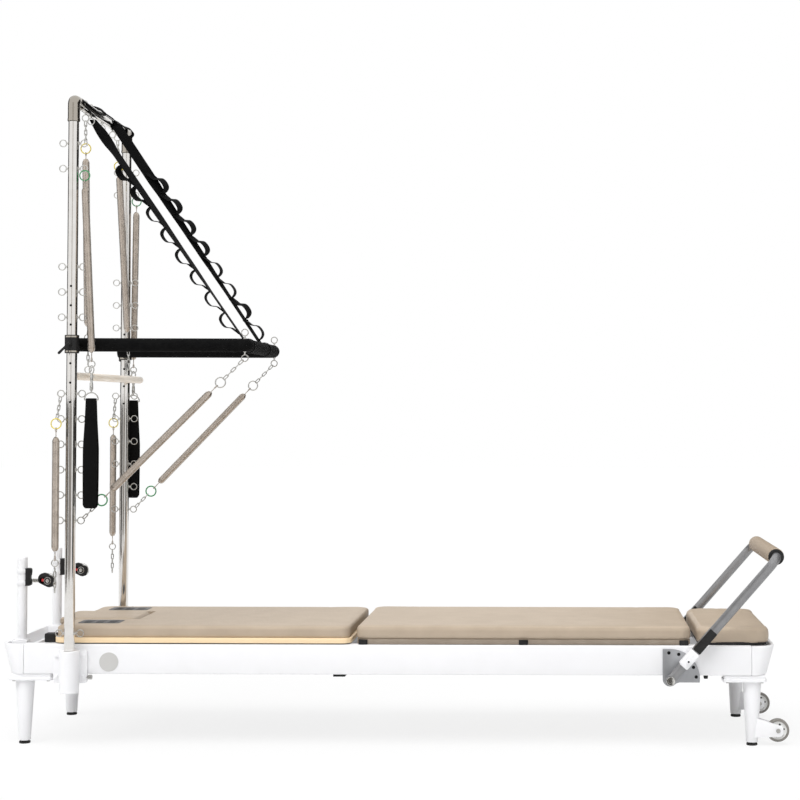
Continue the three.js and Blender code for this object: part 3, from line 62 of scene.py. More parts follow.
tilt = Matrix.Rotation(math.radians(CAMERA_PITCH), 4, "X") @ Matrix.Rotation(math.radians(CAMERA_ROLL), 4, "Z")
camera.matrix_world = Matrix.Translation(CAMERA_PLACE) @ tilt
bpy.context.scene.camera = camera
bpy.context.scene.view_settings.view_transform = "Standard"

# The studio is a white room: an even soft light from all round, a broad soft light from above and a fill from the
# front. Dark screens round the tower, that only bright metal sees, draw the dark bands on the tubes.
SKY_STRENGTH = 0.55
SUN_STRENGTH = 2.6
FILL_STRENGTH = 0.15
world = bpy.data.worlds.new("white_room")
world.use_nodes = True
bpy.context.scene.world = world
sky_nodes, sky_links = world.node_tree.nodes, world.node_tree.links
sky = sky_nodes["Background"]
sky.inputs["Color"].default_value = (1, 1, 1, 1)
seen_white = sky_nodes.new("ShaderNodeLightPath")
seen = sky_nodes.new("ShaderNodeMath")
seen.operation = "ADD"
seen_or_reflected = sky_nodes.new("ShaderNodeMath")
seen_or_reflected.operation = "ADD"
seen_or_reflected.use_clamp = True
sky_level = sky_nodes.new("ShaderNodeMapRange")
sky_level.inputs["To Min"].default_value = SKY_STRENGTH
sky_level.inputs["To Max"].default_value = 1.0
sky_links.new(seen_white.outputs["Is Camera Ray"], seen.inputs[0])
sky_links.new(seen_white.outputs["Is Glossy Ray"], seen.inputs[1])
sky_links.new(seen.outputs[0], seen_or_reflected.inputs[0])
sky_links.new(seen_white.outputs["Is Transmission Ray"], seen_or_reflected.inputs[1])
sky_links.new(seen_or_reflected.outputs[0], sky_level.inputs["Value"])
sky_links.new(sky_level.outputs[0], sky.inputs["Strength"])


def lamp(name, power, place, target, spread):
    """A soft far light. Bright metal reflects the white room instead of it."""
    data = bpy.data.lights.new(name, "SUN")
    data.energy = power
    data.angle = math.radians(spread)
    made = bpy.data.objects.new(name, data)
    bpy.context.scene.collection.objects.link(made)
    made.location = place
    made.rotation_euler = (Vector(target) - Vector(place)).to_track_quat("-Z", "Y").to_euler()
    made.visible_glossy = False


lamp("overhead", SUN_STRENGTH, (-0.8, -1.6, 4), (0, 0, 0), 50)
lamp("front_fill", FILL_STRENGTH, (0.4, -6, 1.6), (0, 0, 1), 60)


TOWER_PLACE = (-1.05, 0, 0)


def screen(name, turn, spread, reach, high, tone):
    """An upright screen that faces the tower, turned so many degrees from the near side and so many wide, at a
    reach and of a height in metres. Only glossy rays see it, so it shades nothing."""
    data = bpy.data.meshes.new(name)
    sheet = bmesh.new()
    bmesh.ops.create_grid(sheet, x_segments=1, y_segments=1, size=0.5)
    width = 2 * reach * math.tan(math.radians(spread / 2))
    upright = Matrix.Rotation(math.pi / 2, 4, "X") @ Matrix.Diagonal((width, high, 1, 1))
    stand = Matrix.Rotation(math.radians(turn), 4, "Z") @ Matrix.Translation((0, -reach, high / 2))
    sheet.transform(Matrix.Translation(TOWER_PLACE) @ stand @ upright)
    sheet.to_mesh(data)
    sheet.free()
    cloth = bpy.data.materials.new(name)
    cloth.use_nodes = True
    cloth.node_tree.nodes.remove(cloth.node_tree.nodes["Principled BSDF"])
    glow = cloth.node_tree.nodes.new("ShaderNodeEmission")
    glow.inputs["Color"].default_value = (tone, tone * 0.95, tone * 0.9, 1)
    cloth.node_tree.links.new(glow.outputs[0], cloth.node_tree.nodes["Material Output"].inputs["Surface"])
    data.materials.append(cloth)
    made = bpy.data.objects.new(name, data)
    bpy.context.scene.collection.objects.link(made)
    made.visible_camera = made.visible_diffuse = made.visible_transmission = made.visible_shadow = False


screen("screen_right", 122, 78, 5, 5, 0.03)
screen("screen_left", -128, 62, 5, 5, 0.06)
screen("screen_front", -2, 16, 5, 5, 0.55)
screen("screen_low_right", 62, 34, 1.9, 1.12, 0.1)
screen("screen_low_left", -66, 58, 1.9, 1.12, 0.12)
screen("screen_low_front", -2, 52, 1.9, 1.12, 0.32)

# The floor is plain and near white, half its width given in metres. The camera sees most of it as paper white, so
# only the soft shadow shows.
FLOOR_HALF = 30
FLOOR_GREY = 0.8
PAPER_SHARE = 0.84
floor_mesh = bpy.data.meshes.new("floor")
floor_bm = bmesh.new()
bmesh.ops.create_grid(floor_bm, x_segments=1, y_segments=1, size=FLOOR_HALF)
floor_bm.to_mesh(floor_mesh)
floor_bm.free()
floor = bpy.data.objects.new("floor", floor_mesh)
bpy.context.scene.collection.objects.link(floor)
paper = bpy.data.materials.new("pale_floor")
paper.use_nodes = True
paper_nodes, paper_links = paper.node_tree.nodes, paper.node_tree.links
paper_nodes.remove(paper_nodes["Principled BSDF"])
matt = paper_nodes.new("ShaderNodeBsdfDiffuse")
matt.inputs["Color"].default_value = (*[FLOOR_GREY] * 3, 1)
white = paper_nodes.new("ShaderNodeEmission")
white.inputs["Color"].default_value = (1, 1, 1, 1)
paper_path = paper_nodes.new("ShaderNodeLightPath")
paper_seen = paper_nodes.new("ShaderNodeMath")
paper_seen.operation = "ADD"
paper_share = paper_nodes.new("ShaderNodeMath")
paper_share.operation = "MULTIPLY"
paper_share.inputs[1].default_value = PAPER_SHARE
paper_mix = paper_nodes.new("ShaderNodeMixShader")
paper_links.new(paper_path.outputs["Is Camera Ray"], paper_seen.inputs[0])
paper_links.new(paper_path.outputs["Is Glossy Ray"], paper_seen.inputs[1])
paper_links.new(paper_seen.outputs[0], paper_share.inputs[0])
paper_links.new(paper_share.outputs[0], paper_mix.inputs[0])
paper_links.new(matt.outputs[0], paper_mix.inputs[1])
paper_links.new(white.outputs[0], paper_mix.inputs[2])
paper_links.new(paper_mix.outputs[0], paper_nodes["Material Output"].inputs["Surface"])
floor_mesh.materials.append(paper)

# Frame rails: hollow aluminium sections with rounded edges, powder coated white, with the ledge that the
# carriage wheels run on. Sizes are in millimetres from the point on the floor midway between the legs.
MM = 0.001
MIDDLE_X = -23.25
SIDES = (("near", -1), ("far", 1))


def colour(red, green, blue):
    """The linear colour of a display colour from 0 to 255."""
    shares = (value / 255 for value in (red, green, blue))
    return tuple(s / 12.92 if s <= 0.04045 else ((s + 0.055) / 1.055) ** 2.4 for s in shares)


class Finish:
    """A procedural material. Values that are the same all over sit on the shader's own sockets."""

    def __init__(self, name, base, roughness, metallic=0.0, **others):
        self.material = bpy.data.materials.new(name)
        self.material.use_nodes = True
        self.nodes = self.material.node_tree.nodes
        self.links = self.material.node_tree.links
        self.shader = self.nodes["Principled BSDF"]
        self.shader.inputs["Base Color"].default_value = (*base, 1)
        self.shader.inputs["Roughness"].default_value = roughness
        self.shader.inputs["Metallic"].default_value = metallic
        for socket, value in others.items():
            self.shader.inputs[socket.replace("_", " ")].default_value = value

    def places(self, stretch=(1, 1, 1), source="Object"):
        """Texture coordinates on the piece, stretched by a share along each axis."""
        held = self.nodes.new("ShaderNodeTexCoord")
        mapping = self.nodes.new("ShaderNodeMapping")
        mapping.inputs["Scale"].default_value = stretch
        self.links.new(held.outputs[source], mapping.inputs["Vector"])
        return mapping.outputs["Vector"]

    def mottle(self, patch, detail=3, stretch=(1, 1, 1)):
        """Noise with patches of about so many millimetres."""
        node = self.nodes.new("ShaderNodeTexNoise")
        node.inputs["Scale"].default_value = 1 / (patch * MM)
        node.inputs["Detail"].default_value = detail
        self.links.new(self.places(stretch), node.inputs["Vector"])
        return node.outputs["Fac"]

    def stripes(self, pitch, direction, source="Object", wander=0.0):
        """Even stripes, so many millimetres apart."""
        node = self.nodes.new("ShaderNodeTexWave")
        node.wave_type = "BANDS"
        node.bands_direction = direction
        node.inputs["Scale"].default_value = math.pi / 10 / (pitch * MM)
        node.inputs["Distortion"].default_value = wander
        self.links.new(self.places(source=source), node.inputs["Vector"])
        return node.outputs["Fac"]

    def cells(self, size):
        """The distance to the nearest of scattered points, about so many millimetres apart."""
        node = self.nodes.new("ShaderNodeTexVoronoi")
        node.inputs["Scale"].default_value = 1 / (size * MM)
        self.links.new(self.places(), node.inputs["Vector"])
        return node.outputs["Distance"]

    def level(self, value, low, high, from_low=0.3, from_high=0.7):
        """A pattern's value, brought from its own range to another."""
        node = self.nodes.new("ShaderNodeMapRange")
        node.inputs["From Min"].default_value = from_low
        node.inputs["From Max"].default_value = from_high
        node.inputs["To Min"].default_value = low
        node.inputs["To Max"].default_value = high
        self.links.new(value, node.inputs["Value"])
        return node.outputs["Result"]

    def tones(self, value, first, second):
        """The base colour, from one tone to another by a value."""
        node = self.nodes.new("ShaderNodeMix")
        node.data_type = "RGBA"
        node.inputs["A"].default_value = (*first, 1)
        node.inputs["B"].default_value = (*second, 1)
        self.links.new(value, node.inputs["Factor"])
        self.links.new(node.outputs["Result"], self.shader.inputs["Base Color"])

    def roughen(self, value, low, high):
        """Roughness between two values, by a pattern."""
        self.links.new(self.level(value, low, high), self.shader.inputs["Roughness"])

    def relief(self, height, depth, strength=1.0, after=None):
        """Bump of about so many millimetres."""
        node = self.nodes.new("ShaderNodeBump")
        node.inputs["Distance"].default_value = depth * MM
        node.inputs["Strength"].default_value = strength
        self.links.new(height, node.inputs["Height"])
        if after is not None:
            self.links.new(after, node.inputs["Normal"])
        self.links.new(node.outputs["Normal"], self.shader.inputs["Normal"])
        return node.outputs["Normal"]


def mixed(light, dark, share):
    """A tone so far from one to another."""
    return tuple(a + (b - a) * share for a, b in zip(light, dark))


def powder_coat():
    """White powder coat, a little uneven in tone and gloss, with a fine grain like orange peel."""
    base = colour(241, 241, 243)
    finish = Finish("white_powder_coat", base, 0.42, Specular_IOR_Level=0.45)
    finish.tones(finish.level(finish.mottle(60), 0, 1), base, mixed(base, colour(238, 238, 239), 0.5))
    finish.roughen(finish.mottle(9), 0.36, 0.5)
    finish.relief(finish.mottle(1.4, detail=1), 0.05, 0.35)
    return finish.material


WHITE_COAT = powder_coat()


def fresh(bm, known):
    """What an operator has just added, given what was there before."""
    return [face for face in bm.faces if face not in known]


def block(bm, low, high, rim=1.5, steps=2):
    """A block between two corners, with its edges rounded."""
    low, high = Vector(low), Vector(high)
    size = high - low
    place = Matrix.Translation((low + high) / 2) @ Matrix.Diagonal((*size, 1))
    verts = bmesh.ops.create_cube(bm, size=1, matrix=place)["verts"]
    edges = list({edge for vert in verts for edge in vert.link_edges})
    bmesh.ops.bevel(
        bm, geom=edges, offset=rim, offset_type="OFFSET", segments=steps, profile=0.5, affect="EDGES", material=-1,
    )


def rounded_plate(bm, low, high, corner, rim=1.0, axis=2, steps=8):
    """A plate with its corners rounded in plan, and then its rims."""
    known = set(bm.faces)
    low, high = Vector(low), Vector(high)
    place = Matrix.Translation((low + high) / 2) @ Matrix.Diagonal((*(high - low), 1))
    verts = bmesh.ops.create_cube(bm, size=1, matrix=place)["verts"]
    edges = {edge for vert in verts for edge in vert.link_edges}
    posts = [e for e in edges if abs((e.verts[1].co - e.verts[0].co).normalized()[axis]) > 0.9]
    bmesh.ops.bevel(
        bm, geom=posts, offset=corner, offset_type="OFFSET", segments=steps, profile=0.5, affect="EDGES",
        material=-1,
    )
    faces = fresh(bm, known)
    for face in faces:
        face.normal_update()
    rims = {e for face in faces if abs(face.normal[axis]) > 0.9 for e in face.edges}
    bmesh.ops.bevel(
        bm, geom=list(rims), offset=rim, offset_type="OFFSET", segments=2, profile=0.5, affect="EDGES",
        material=-1,
    )


def made_piece(name, bm, finishes, body, replaces=(), crease=40):
    """Makes the object from a mesh in millimetres, smooth up to a crease in degrees, and puts it on its body. A
    piece given no body is left without one."""
    bmesh.ops.recalc_face_normals(bm, faces=bm.faces)
    bm.transform(Matrix.Scale(MM, 4) @ Matrix.Translation((MIDDLE_X, 0, 0)))
    mesh = bpy.data.meshes.new(name)
    bm.to_mesh(mesh)
    bm.free()
    for finish in finishes if isinstance(finishes, (list, tuple)) else [finishes]:
        mesh.materials.append(finish)
    mesh.shade_smooth()
    mesh.set_sharp_from_angle(angle=math.radians(crease))
    piece = bpy.data.objects.new(name, mesh)
    bpy.context.scene.collection.objects.link(piece)
    if body:
        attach(piece, body)
    if replaces:
        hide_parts(*replaces)
    return piece


def bar(bm, start, end, radius, end_radius=None, rim=1.0, sides=32):
    """A round bar between two points, with softened rims."""
    start, end = Vector(start), Vector(end)
    way = end - start
    place = Matrix.Translation((start + end) / 2) @ way.to_track_quat("Z", "Y").to_matrix().to_4x4()
    verts = bmesh.ops.create_cone(
        bm, cap_ends=True, segments=sides, radius1=radius, radius2=radius if end_radius is None else end_radius,
        depth=way.length, matrix=place,
    )["verts"]
    if rim:
        caps = {face for vert in verts for face in vert.link_faces if len(face.verts) == sides}
        rims = {edge for face in caps for edge in face.edges}
        bmesh.ops.bevel(
            bm, geom=list(rims), offset=rim, offset_type="OFFSET", segments=2, profile=0.5,
            affect="EDGES", material=-1,
        )


def paint(bm, known, index):
    """Gives what was added since then another of the piece's finishes."""
    for face in fresh(bm, known):
        face.material_index = index


RAIL_HALF_LENGTH = 1183
FRAME_HALF = 310
RAIL_WIDTH = 45
RAIL_BOTTOM, RAIL_TOP = 230, 326
LEDGE_REACH, LEDGE_LAP, LEDGE_BOTTOM, LEDGE_TOP = 22, 6, 282, 288
for side, sign in SIDES:
    bm = bmesh.new()
    inner, outer = sorted((sign * (FRAME_HALF - RAIL_WIDTH), sign * FRAME_HALF))
    block(bm, (-RAIL_HALF_LENGTH, inner, RAIL_BOTTOM), (RAIL_HALF_LENGTH, outer, RAIL_TOP), rim=4, steps=4)
    rail_inside = FRAME_HALF - RAIL_WIDTH
    ledge = sorted((sign * (rail_inside - LEDGE_REACH), sign * (rail_inside + LEDGE_LAP)))
    block(bm, (-RAIL_HALF_LENGTH, ledge[0], LEDGE_BOTTOM), (RAIL_HALF_LENGTH, ledge[1], LEDGE_TOP), rim=1)
    made_piece("rail_coated_" + side, bm, WHITE_COAT, "frame", ["rail_" + side])

# Rail badge: a plain stamped metal disc in satin light grey, its middle raised a little. It is glued to the near
# rail's outer face, beside the tower.
BADGE_RADIUS = 31
BADGE_X, BADGE_Z = -905.5, 269
BADGE_BACK, BADGE_FACE, BADGE_RAISED = -308, -311.6, -312.1
badge_finish = Finish("badge_grey", colour(208, 207, 205), 0.38, metallic=0.25)
badge_finish.relief(badge_finish.mottle(0.8, detail=1), 0.04, 0.4)
bm = bmesh.new()
bar(bm, (BADGE_X, BADGE_BACK, BADGE_Z), (BADGE_X, BADGE_FACE, BADGE_Z), BADGE_RADIUS, rim=0.9, sides=72)
bar(bm, (BADGE_X, -311, BADGE_Z), (BADGE_X, BADGE_RAISED, BADGE_Z), BADGE_RADIUS - 4, rim=0.5, sides=72)
made_piece("rail_badge_blank", bm, badge_finish.material, "frame")

# Rail knob: a small black moulded knob on a screw, under the near rail at its foot end. Its edge has flats for the
# fingers.
def moulded_black(name, tone=22, roughness=0.48):
    """Moulded or coated black of some tone, its grain a little lighter in places."""
    base, worn = colour(tone, tone, tone + 1), colour(tone + 9, tone + 9, tone + 9)
    finish = Finish(name, base, roughness, Specular_IOR_Level=0.35)
    finish.tones(finish.level(finish.mottle(14), 0, 1), base, worn)
    finish.roughen(finish.mottle(5), roughness - 0.08, roughness + 0.1)
    finish.relief(finish.mottle(0.6, detail=1), 0.05, 0.5)
    return finish.material


BLACK_MOULDING = moulded_black("moulded_black")
bm = bmesh.new()
KNOB_X, KNOB_Y = 1035, -287
bar(bm, (KNOB_X, KNOB_Y, 231), (KNOB_X, KNOB_Y, 227), 3.2)
bar(bm, (KNOB_X, KNOB_Y, 228), (KNOB_X, KNOB_Y, 217), 8, end_radius=6.6, rim=1.6, sides=16)
made_piece("rail_knob", bm, BLACK_MOULDING, "frame")

# End frames: cast aluminium, a rounded wall round each end with a floor and a stop plate, powder coated white.
# They are bolted to the rails' ends, and the joint shows as a fine line.
def from_solid(node, rim, sharp, steps):
    """A copy of a solid, its loose triangles merged and the edges sharper than so many degrees rounded."""
    bm = bmesh.new()
    bm.from_mesh(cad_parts[node].data)
    bm.transform(Matrix.Translation((-MIDDLE_X, 0, 0)) @ Matrix.Scale(1 / MM, 4))
    bmesh.ops.remove_doubles(bm, verts=bm.verts, dist=0.02)
    bmesh.ops.dissolve_limit(
        bm, angle_limit=math.radians(1.5), verts=bm.verts, edges=bm.edges, delimit={"NORMAL"},
    )
    bmesh.ops.recalc_face_normals(bm, faces=bm.faces)
    keen = [e for e in bm.edges if len(e.link_faces) == 2 and e.calc_face_angle() > math.radians(sharp)]
    bmesh.ops.bevel(
        bm, geom=keen, offset=rim, offset_type="OFFSET", segments=steps, profile=0.5,
        affect="EDGES", material=-1, clamp_overlap=True,
    )
    return bm


for end in ("head", "foot"):
    bm = from_solid("end_frame_" + end, rim=2.2, sharp=40, steps=3)
    made_piece("end_casting_" + end, bm, WHITE_COAT, "frame", ["end_frame_" + end])

# Cross brace: a flat steel bar under the rails, below the carriage's foot end, coated black. Two hexagon screws
# at each end hold it.
BLACK_COAT = moulded_black("black_powder_coat", tone=20, roughness=0.55)
BRACE_LOW, BRACE_HIGH = (-177.5, -306, 222.7), (-138.5, 306, 229.7)
BRACE_SCREW_X, BRACE_SCREW_Y, BRACE_SCREW_RADIUS = (-168, -148), (-287, 287), 4.2
bm = bmesh.new()
block(bm, BRACE_LOW, BRACE_HIGH, rim=1.2)
for y in BRACE_SCREW_Y:
    for x in BRACE_SCREW_X:
        bar(bm, (x, y, 223.2), (x, y, 220.2), BRACE_SCREW_RADIUS, rim=0.8, sides=6)
made_piece("brace_bar", bm, BLACK_COAT, "frame", ["cross_brace"])

# Legs: tapered tube welded to a flange that is bolted under the rail's end, all powder coated white. The two at
# the foot end flow out into a fork for a wheel. Each stands on a black rubber pad on a threaded stem.
LEG_X, LEG_Y = 1187, 273
LEG_FOOT_RADIUS, LEG_TOP_RADIUS = 19, 30.5
WHEEL_X, WHEEL_Z = 1271, 48.5
FORK_INSIDE, FORK_OUTSIDE, FORK_RADIUS = 13.5, 18.5, 17
FLANGE_SHIFT, SCREW_DX, SCREW_DY = 26, 56, 24
RUBBER = Finish("black_rubber", colour(26, 26, 26), 0.85)
RUBBER.tones(RUBBER.level(RUBBER.mottle(8), 0, 1), colour(24, 24, 24), colour(38, 37, 36))
RUBBER.relief(RUBBER.mottle(1.0), 0.12, 0.5)
ZINC = Finish("plated_bolts", colour(176, 175, 172), 0.3, metallic=1.0)
ZINC.roughen(ZINC.mottle(3), 0.24, 0.42)
for end, end_sign in (("head", -1), ("foot", 1)):
    for side, sign in SIDES:
        leg = f"leg_{end}_{side}"
        x, y = end_sign * LEG_X, sign * LEG_Y
        middle = x - end_sign * FLANGE_SHIFT
        bm = bmesh.new()
        bar(bm, (x, y, 10.3), (x, y, 212), LEG_FOOT_RADIUS, end_radius=LEG_TOP_RADIUS, rim=1.6, sides=48)
        rounded_plate(bm, (middle - 71.5, y - 37.5, 208.2), (middle + 71.5, y + 37.5, 217.7), 14, rim=1.4)
        rounded_plate(bm, (middle - 66.5, y - 32.5, 213), (middle + 66.5, y + 32.5, 229.7), 4, rim=1)
        if end == "foot":
            for cheek in (-1, 1):
                known = set(bm.faces)
                faces = sorted((y + cheek * FORK_INSIDE, y + cheek * FORK_OUTSIDE))
                fork_end = (WHEEL_X + FORK_RADIUS, faces[1], 66)
                rounded_plate(bm, (x - 4, faces[0], 29), fork_end, 13, rim=1.2, axis=1)
                for vert in {v for face in fresh(bm, known) for v in face.verts}:
                    towards_leg = max(0.0, 1 - (vert.co.x - x) / 52)
                    if vert.co.z > 47:
                        vert.co.z += 34 * towards_leg ** 1.6
                    else:
                        vert.co.z -= 4 * towards_leg
            block(bm, (x, y - 16, 34), (x + 30, y + 16, 74), rim=3)
        known = set(bm.faces)
        for screw_x in (middle - SCREW_DX, middle + SCREW_DX):
            for screw_y in (y - SCREW_DY, y + SCREW_DY):
                bar(bm, (screw_x, screw_y, 209), (screw_x, screw_y, 204.4), 5.6, rim=0.7, sides=6)
                bar(bm, (screw_x, screw_y, 209), (screw_x, screw_y, 207.2), 8, rim=0.4, sides=24)
        paint(bm, known, 1)
        made_piece(leg + "_tube", bm, [WHITE_COAT, ZINC.material], "frame", [leg])
        bm = bmesh.new()
        bar(bm, (x, y, 0), (x, y, 7.4), 18, rim=1.6, sides=40)
        bar(bm, (x, y, 6.6), (x, y, 10), 14.5, rim=1, sides=40)
        made_piece(
            f"foot_pad_rubber_{end}_{side}", bm, RUBBER.material, "frame", [f"foot_pad_{end}_{side}"],
        )

# Transport wheels: a warm grey tyre on a white moulded hub, on a zinc-plated axle screw through the fork. The
# hub's slots are drawn as black blocks on its face, painted shade for the openings.
TYRE = Finish("light_grey_tyre", colour(150, 147, 142), 0.62)
TYRE.tones(TYRE.level(TYRE.mottle(10), 0, 1), colour(136, 133, 128), colour(122, 119, 114))
TYRE.relief(TYRE.mottle(1.1), 0.1, 0.5)
HUB = Finish("white_hub", colour(226, 226, 224), 0.4)
HUB.roughen(HUB.mottle(6), 0.34, 0.48)


def turned(bm, profile, centre, axis, steps=48):
    """A turned shape: a profile of (radius, height) pairs, spun once round the axis through the centre."""
    verts = [bm.verts.new((radius, 0, height)) for radius, height in profile]
    edges = [bm.edges.new(pair) for pair in zip(verts, verts[1:])]
    known = set(bm.verts) - set(verts)
    bmesh.ops.spin(
        bm, geom=verts + edges, cent=(0, 0, 0), axis=(0, 0, 1), angle=2 * math.pi, steps=steps, use_merge=True,
    )
    made = [vert for vert in bm.verts if vert not in known]
    place = Matrix.Translation(Vector(centre)) @ Vector(axis).to_track_quat("Z", "Y").to_matrix().to_4x4()
    bmesh.ops.transform(bm, matrix=place, verts=made)
    bmesh.ops.remove_doubles(bm, verts=made, dist=0.001)


for side, sign in SIDES:
    centre = (WHEEL_X, sign * LEG_Y, WHEEL_Z)
    bm = bmesh.new()
    turned(bm, [
        (29, -11.4), (34, -12), (36, -11), (37.2, -8.5), (37.5, -5), (37.5, 5), (37.2, 8.5), (36, 11), (34, 12),
        (29, 11.4), (28.4, 0), (29, -11.4),
    ], centre, (0, 1, 0), steps=64)
    known = set(bm.faces)
    turned(bm, [
        (5.3, -11.6), (11, -11.6), (12.4, -10.4), (13.4, -8.8), (25.6, -8.8), (27, -10.6), (29.2, -10.8),
        (29.2, 10.8), (27, 10.6), (25.6, 8.8), (13.4, 8.8), (12.4, 10.4), (11, 11.6), (5.3, 11.6), (5.3, -11.6),
    ], centre, (0, 1, 0), steps=64)
    paint(bm, known, 1)
    known = set(bm.faces)
    # Painted shade: black blocks on the hub's face stand for its slots.
    for spoke in range(6):
        turn = Matrix.Rotation(spoke * math.pi / 3 + 0.3, 4, "Y")
        before = set(bm.verts)
        block(bm, (-3.2, -9.1, 16), (3.2, 9.1, 23), rim=0.6)
        slot_verts = [vert for vert in bm.verts if vert not in before]
        bmesh.ops.transform(bm, matrix=Matrix.Translation(Vector(centre)) @ turn, verts=slot_verts)
    paint(bm, known, 2)
    made_piece(
        "wheel_" + side, bm, [TYRE.material, HUB.material, BLACK_MOULDING], "transport_wheel_" + side,
        ["transport_wheel_" + side],
    )
    bm = bmesh.new()
    y = sign * LEG_Y
    bar(bm, (WHEEL_X, y - 19.4, WHEEL_Z), (WHEEL_X, y + 19.4, WHEEL_Z), 4.8, rim=0.6, sides=24)
    for way in (-1, 1):
        bar(bm, (WHEEL_X, y + way * 18.4, WHEEL_Z), (WHEEL_X, y + way * 22.4, WHEEL_Z), 7.4, rim=1.1, sides=28)
        bar(bm, (WHEEL_X, y + way * 21, WHEEL_Z), (WHEEL_X, y + way * 23.2, WHEEL_Z), 3.2, rim=0.4, sides=6)
    made_piece("axle_screw_" + side, bm, ZINC.material, "frame")

# Tower brackets: white powder-coated steel, a sleeve for the upright welded to a plate that is bolted to the
# rail's outer face. A zinc-plated clamp screw stands out of its foot-side edge.
TOWER_X, TOWER_Y = -1024, 345
PLATE_INSIDE, PLATE_OUTSIDE = 310.3, 319.3
BOLT_X, BOLT_Z = (-1073, -984), (222, 290)
CLAMP_Y, CLAMP_Z = 318.5, 221
for side, sign in SIDES:
    bm = bmesh.new()
    turned(bm, [
        (17.6, 180), (17.6, 307.6), (18.6, 309), (29.6, 309), (31, 307.6), (31, 176.6), (29.4, 175), (0.5, 175),
        (0.5, 180), (17.6, 180),
    ], (TOWER_X, sign * TOWER_Y, 0), (0, 0, 1), steps=48)
    plate = sorted((sign * PLATE_INSIDE, sign * PLATE_OUTSIDE))
    rounded_plate(bm, (-1084, plate[0], 202), (-973, plate[1], 309), 9, rim=1.4, axis=1)
    neck = sorted((sign * 312, sign * 342))
    block(bm, (-1052, neck[0], 203), (-996, neck[1], 308), rim=2)
    for x in BOLT_X:
        for z in BOLT_Z:
            bar(bm, (x, sign * 318.6, z), (x, sign * 323.4, z), 6.2, rim=0.9, sides=24)
            bar(bm, (x, sign * 322.4, z), (x, sign * 324, z), 3.4, rim=0.3, sides=6)
    known = set(bm.faces)
    clamp_y = sign * CLAMP_Y
    bar(bm, (-974, clamp_y, CLAMP_Z), (-968, clamp_y, CLAMP_Z), 5, rim=0.8, sides=24)
    bar(bm, (-969, clamp_y, CLAMP_Z), (-957, clamp_y, CLAMP_Z), 7.5, rim=1.6, sides=14)
    paint(bm, known, 1)
    made_piece(
        "bracket_" + side, bm, [WHITE_COAT, ZINC.material], "frame",
        ["tower_bracket_" + side],
    )

# Uprights: bright steel tube, drilled for the push-through bar's lock pin, with two rows of plated eyebolts that
# the springs hang from. The pin holes are drawn as near-black discs, painted shade, not cut. Each eyebolt is
# screwed through the tube and has its nut on the face.
POST_RADIUS = 16.85
EYE_RADIUS, EYE_WIRE, EYE_REACH = 11, 1.75, 34
EYE_PITCH, LOW_EYE_Z, HIGH_EYE_Z, STRAP_EYE_Z = 82, 729.5, 1387, 1870
EYE_HEIGHTS = [366] + [LOW_EYE_Z + EYE_PITCH * k for k in range(6)]
EYE_HEIGHTS += [HIGH_EYE_Z + EYE_PITCH * k for k in range(3)] + [STRAP_EYE_Z, STRAP_EYE_Z + EYE_PITCH]
PUSH_Z = 1300
PIN_HOLE_PITCH, PIN_HOLE_RADIUS = 62.5, 3.9


def route_frames(route, across, closed):
    """At each point of a route: the point, the way its section is wide, and the way it is deep."""
    points = [Vector(point) for point in route]
    last = len(points) - 1
    wides = across if isinstance(across, list) else [across] * len(points)
    held = None
    for place, point in enumerate(points):
        before = points[place - 1] if place else (points[last - 1] if closed else points[0])
        after = points[place + 1] if place < last else (points[1] if closed else points[last])
        way = (after - before).normalized()
        if wides[place] is not None:
            held = Vector(wides[place])
        elif held is None:
            held = way.orthogonal()
        held = (held - way * held.dot(way)).normalized()
        yield point, held, way.cross(held)


def drawn(bm, route, half_width, half_depth=None, sides=8, across=None, square=1.0, closed=False):
    """Draws a section along a route, as wire or webbing is: round, or wide and thin. The UV runs in metres."""
    rows = len(route) - 1
    frames = list(route_frames(route, across, closed))
    lengths = [0.0]
    for (one, _, _), (two, _, _) in zip(frames, frames[1:]):
        lengths.append(lengths[-1] + (two - one).length)
    wide = half_width if isinstance(half_width, list) else [half_width] * len(frames)
    deep = half_depth if isinstance(half_depth, list) else [half_depth] * len(frames)
    cover = bm.loops.layers.uv.verify()
    made = bmesh.ops.create_grid(bm, x_segments=sides, y_segments=rows, size=1)["verts"]
    spots = {v: (round((v.co.x + 1) / 2 * sides), round((v.co.y + 1) / 2 * rows)) for v in made}
    girth = 4 * max(wide)
    for face in {face for vert in made for face in vert.link_faces}:
        for loop in face.loops:
            turn, row = spots[loop.vert]
            loop[cover].uv = (turn / sides * girth * MM, lengths[row] * MM)
    for vert, (turn, row) in spots.items():
        point, held, up = frames[row]
        angle = 2 * math.pi * (turn + 0.5) / sides
        c, s = math.cos(angle), math.sin(angle)
        c, s = math.copysign(abs(c) ** square, c), math.copysign(abs(s) ** square, s)
        depth = wide[row] if deep[row] is None else deep[row]
        vert.co = point + held * (c * wide[row]) + up * (s * depth)
    bmesh.ops.remove_doubles(bm, verts=made, dist=0.0005)
    if not closed:
        rims = [e for vert in made if vert.is_valid for e in vert.link_edges if len(e.link_faces) == 1]
        bmesh.ops.holes_fill(bm, edges=list(set(rims)), sides=0)


def arc(centre, first, second, radius, start, end, steps):
    """Points on a round, from one angle to another, in the plane of two directions."""
    centre, first, second = Vector(centre), Vector(first), Vector(second)
    angles = [start + (end - start) * step / steps for step in range(steps + 1)]
    return [centre + first * (radius * math.cos(a)) + second * (radius * math.sin(a)) for a in angles]


def hoop(bm, centre, axis, radius, wire, steps=24, sides=8):
    """A closed ring of wire."""
    axis = Vector(axis).normalized()
    first = axis.orthogonal().normalized()
    route = arc(centre, first, axis.cross(first), radius, 0, 2 * math.pi, steps)
    drawn(bm, route, wire, sides=sides, across=axis, closed=True)


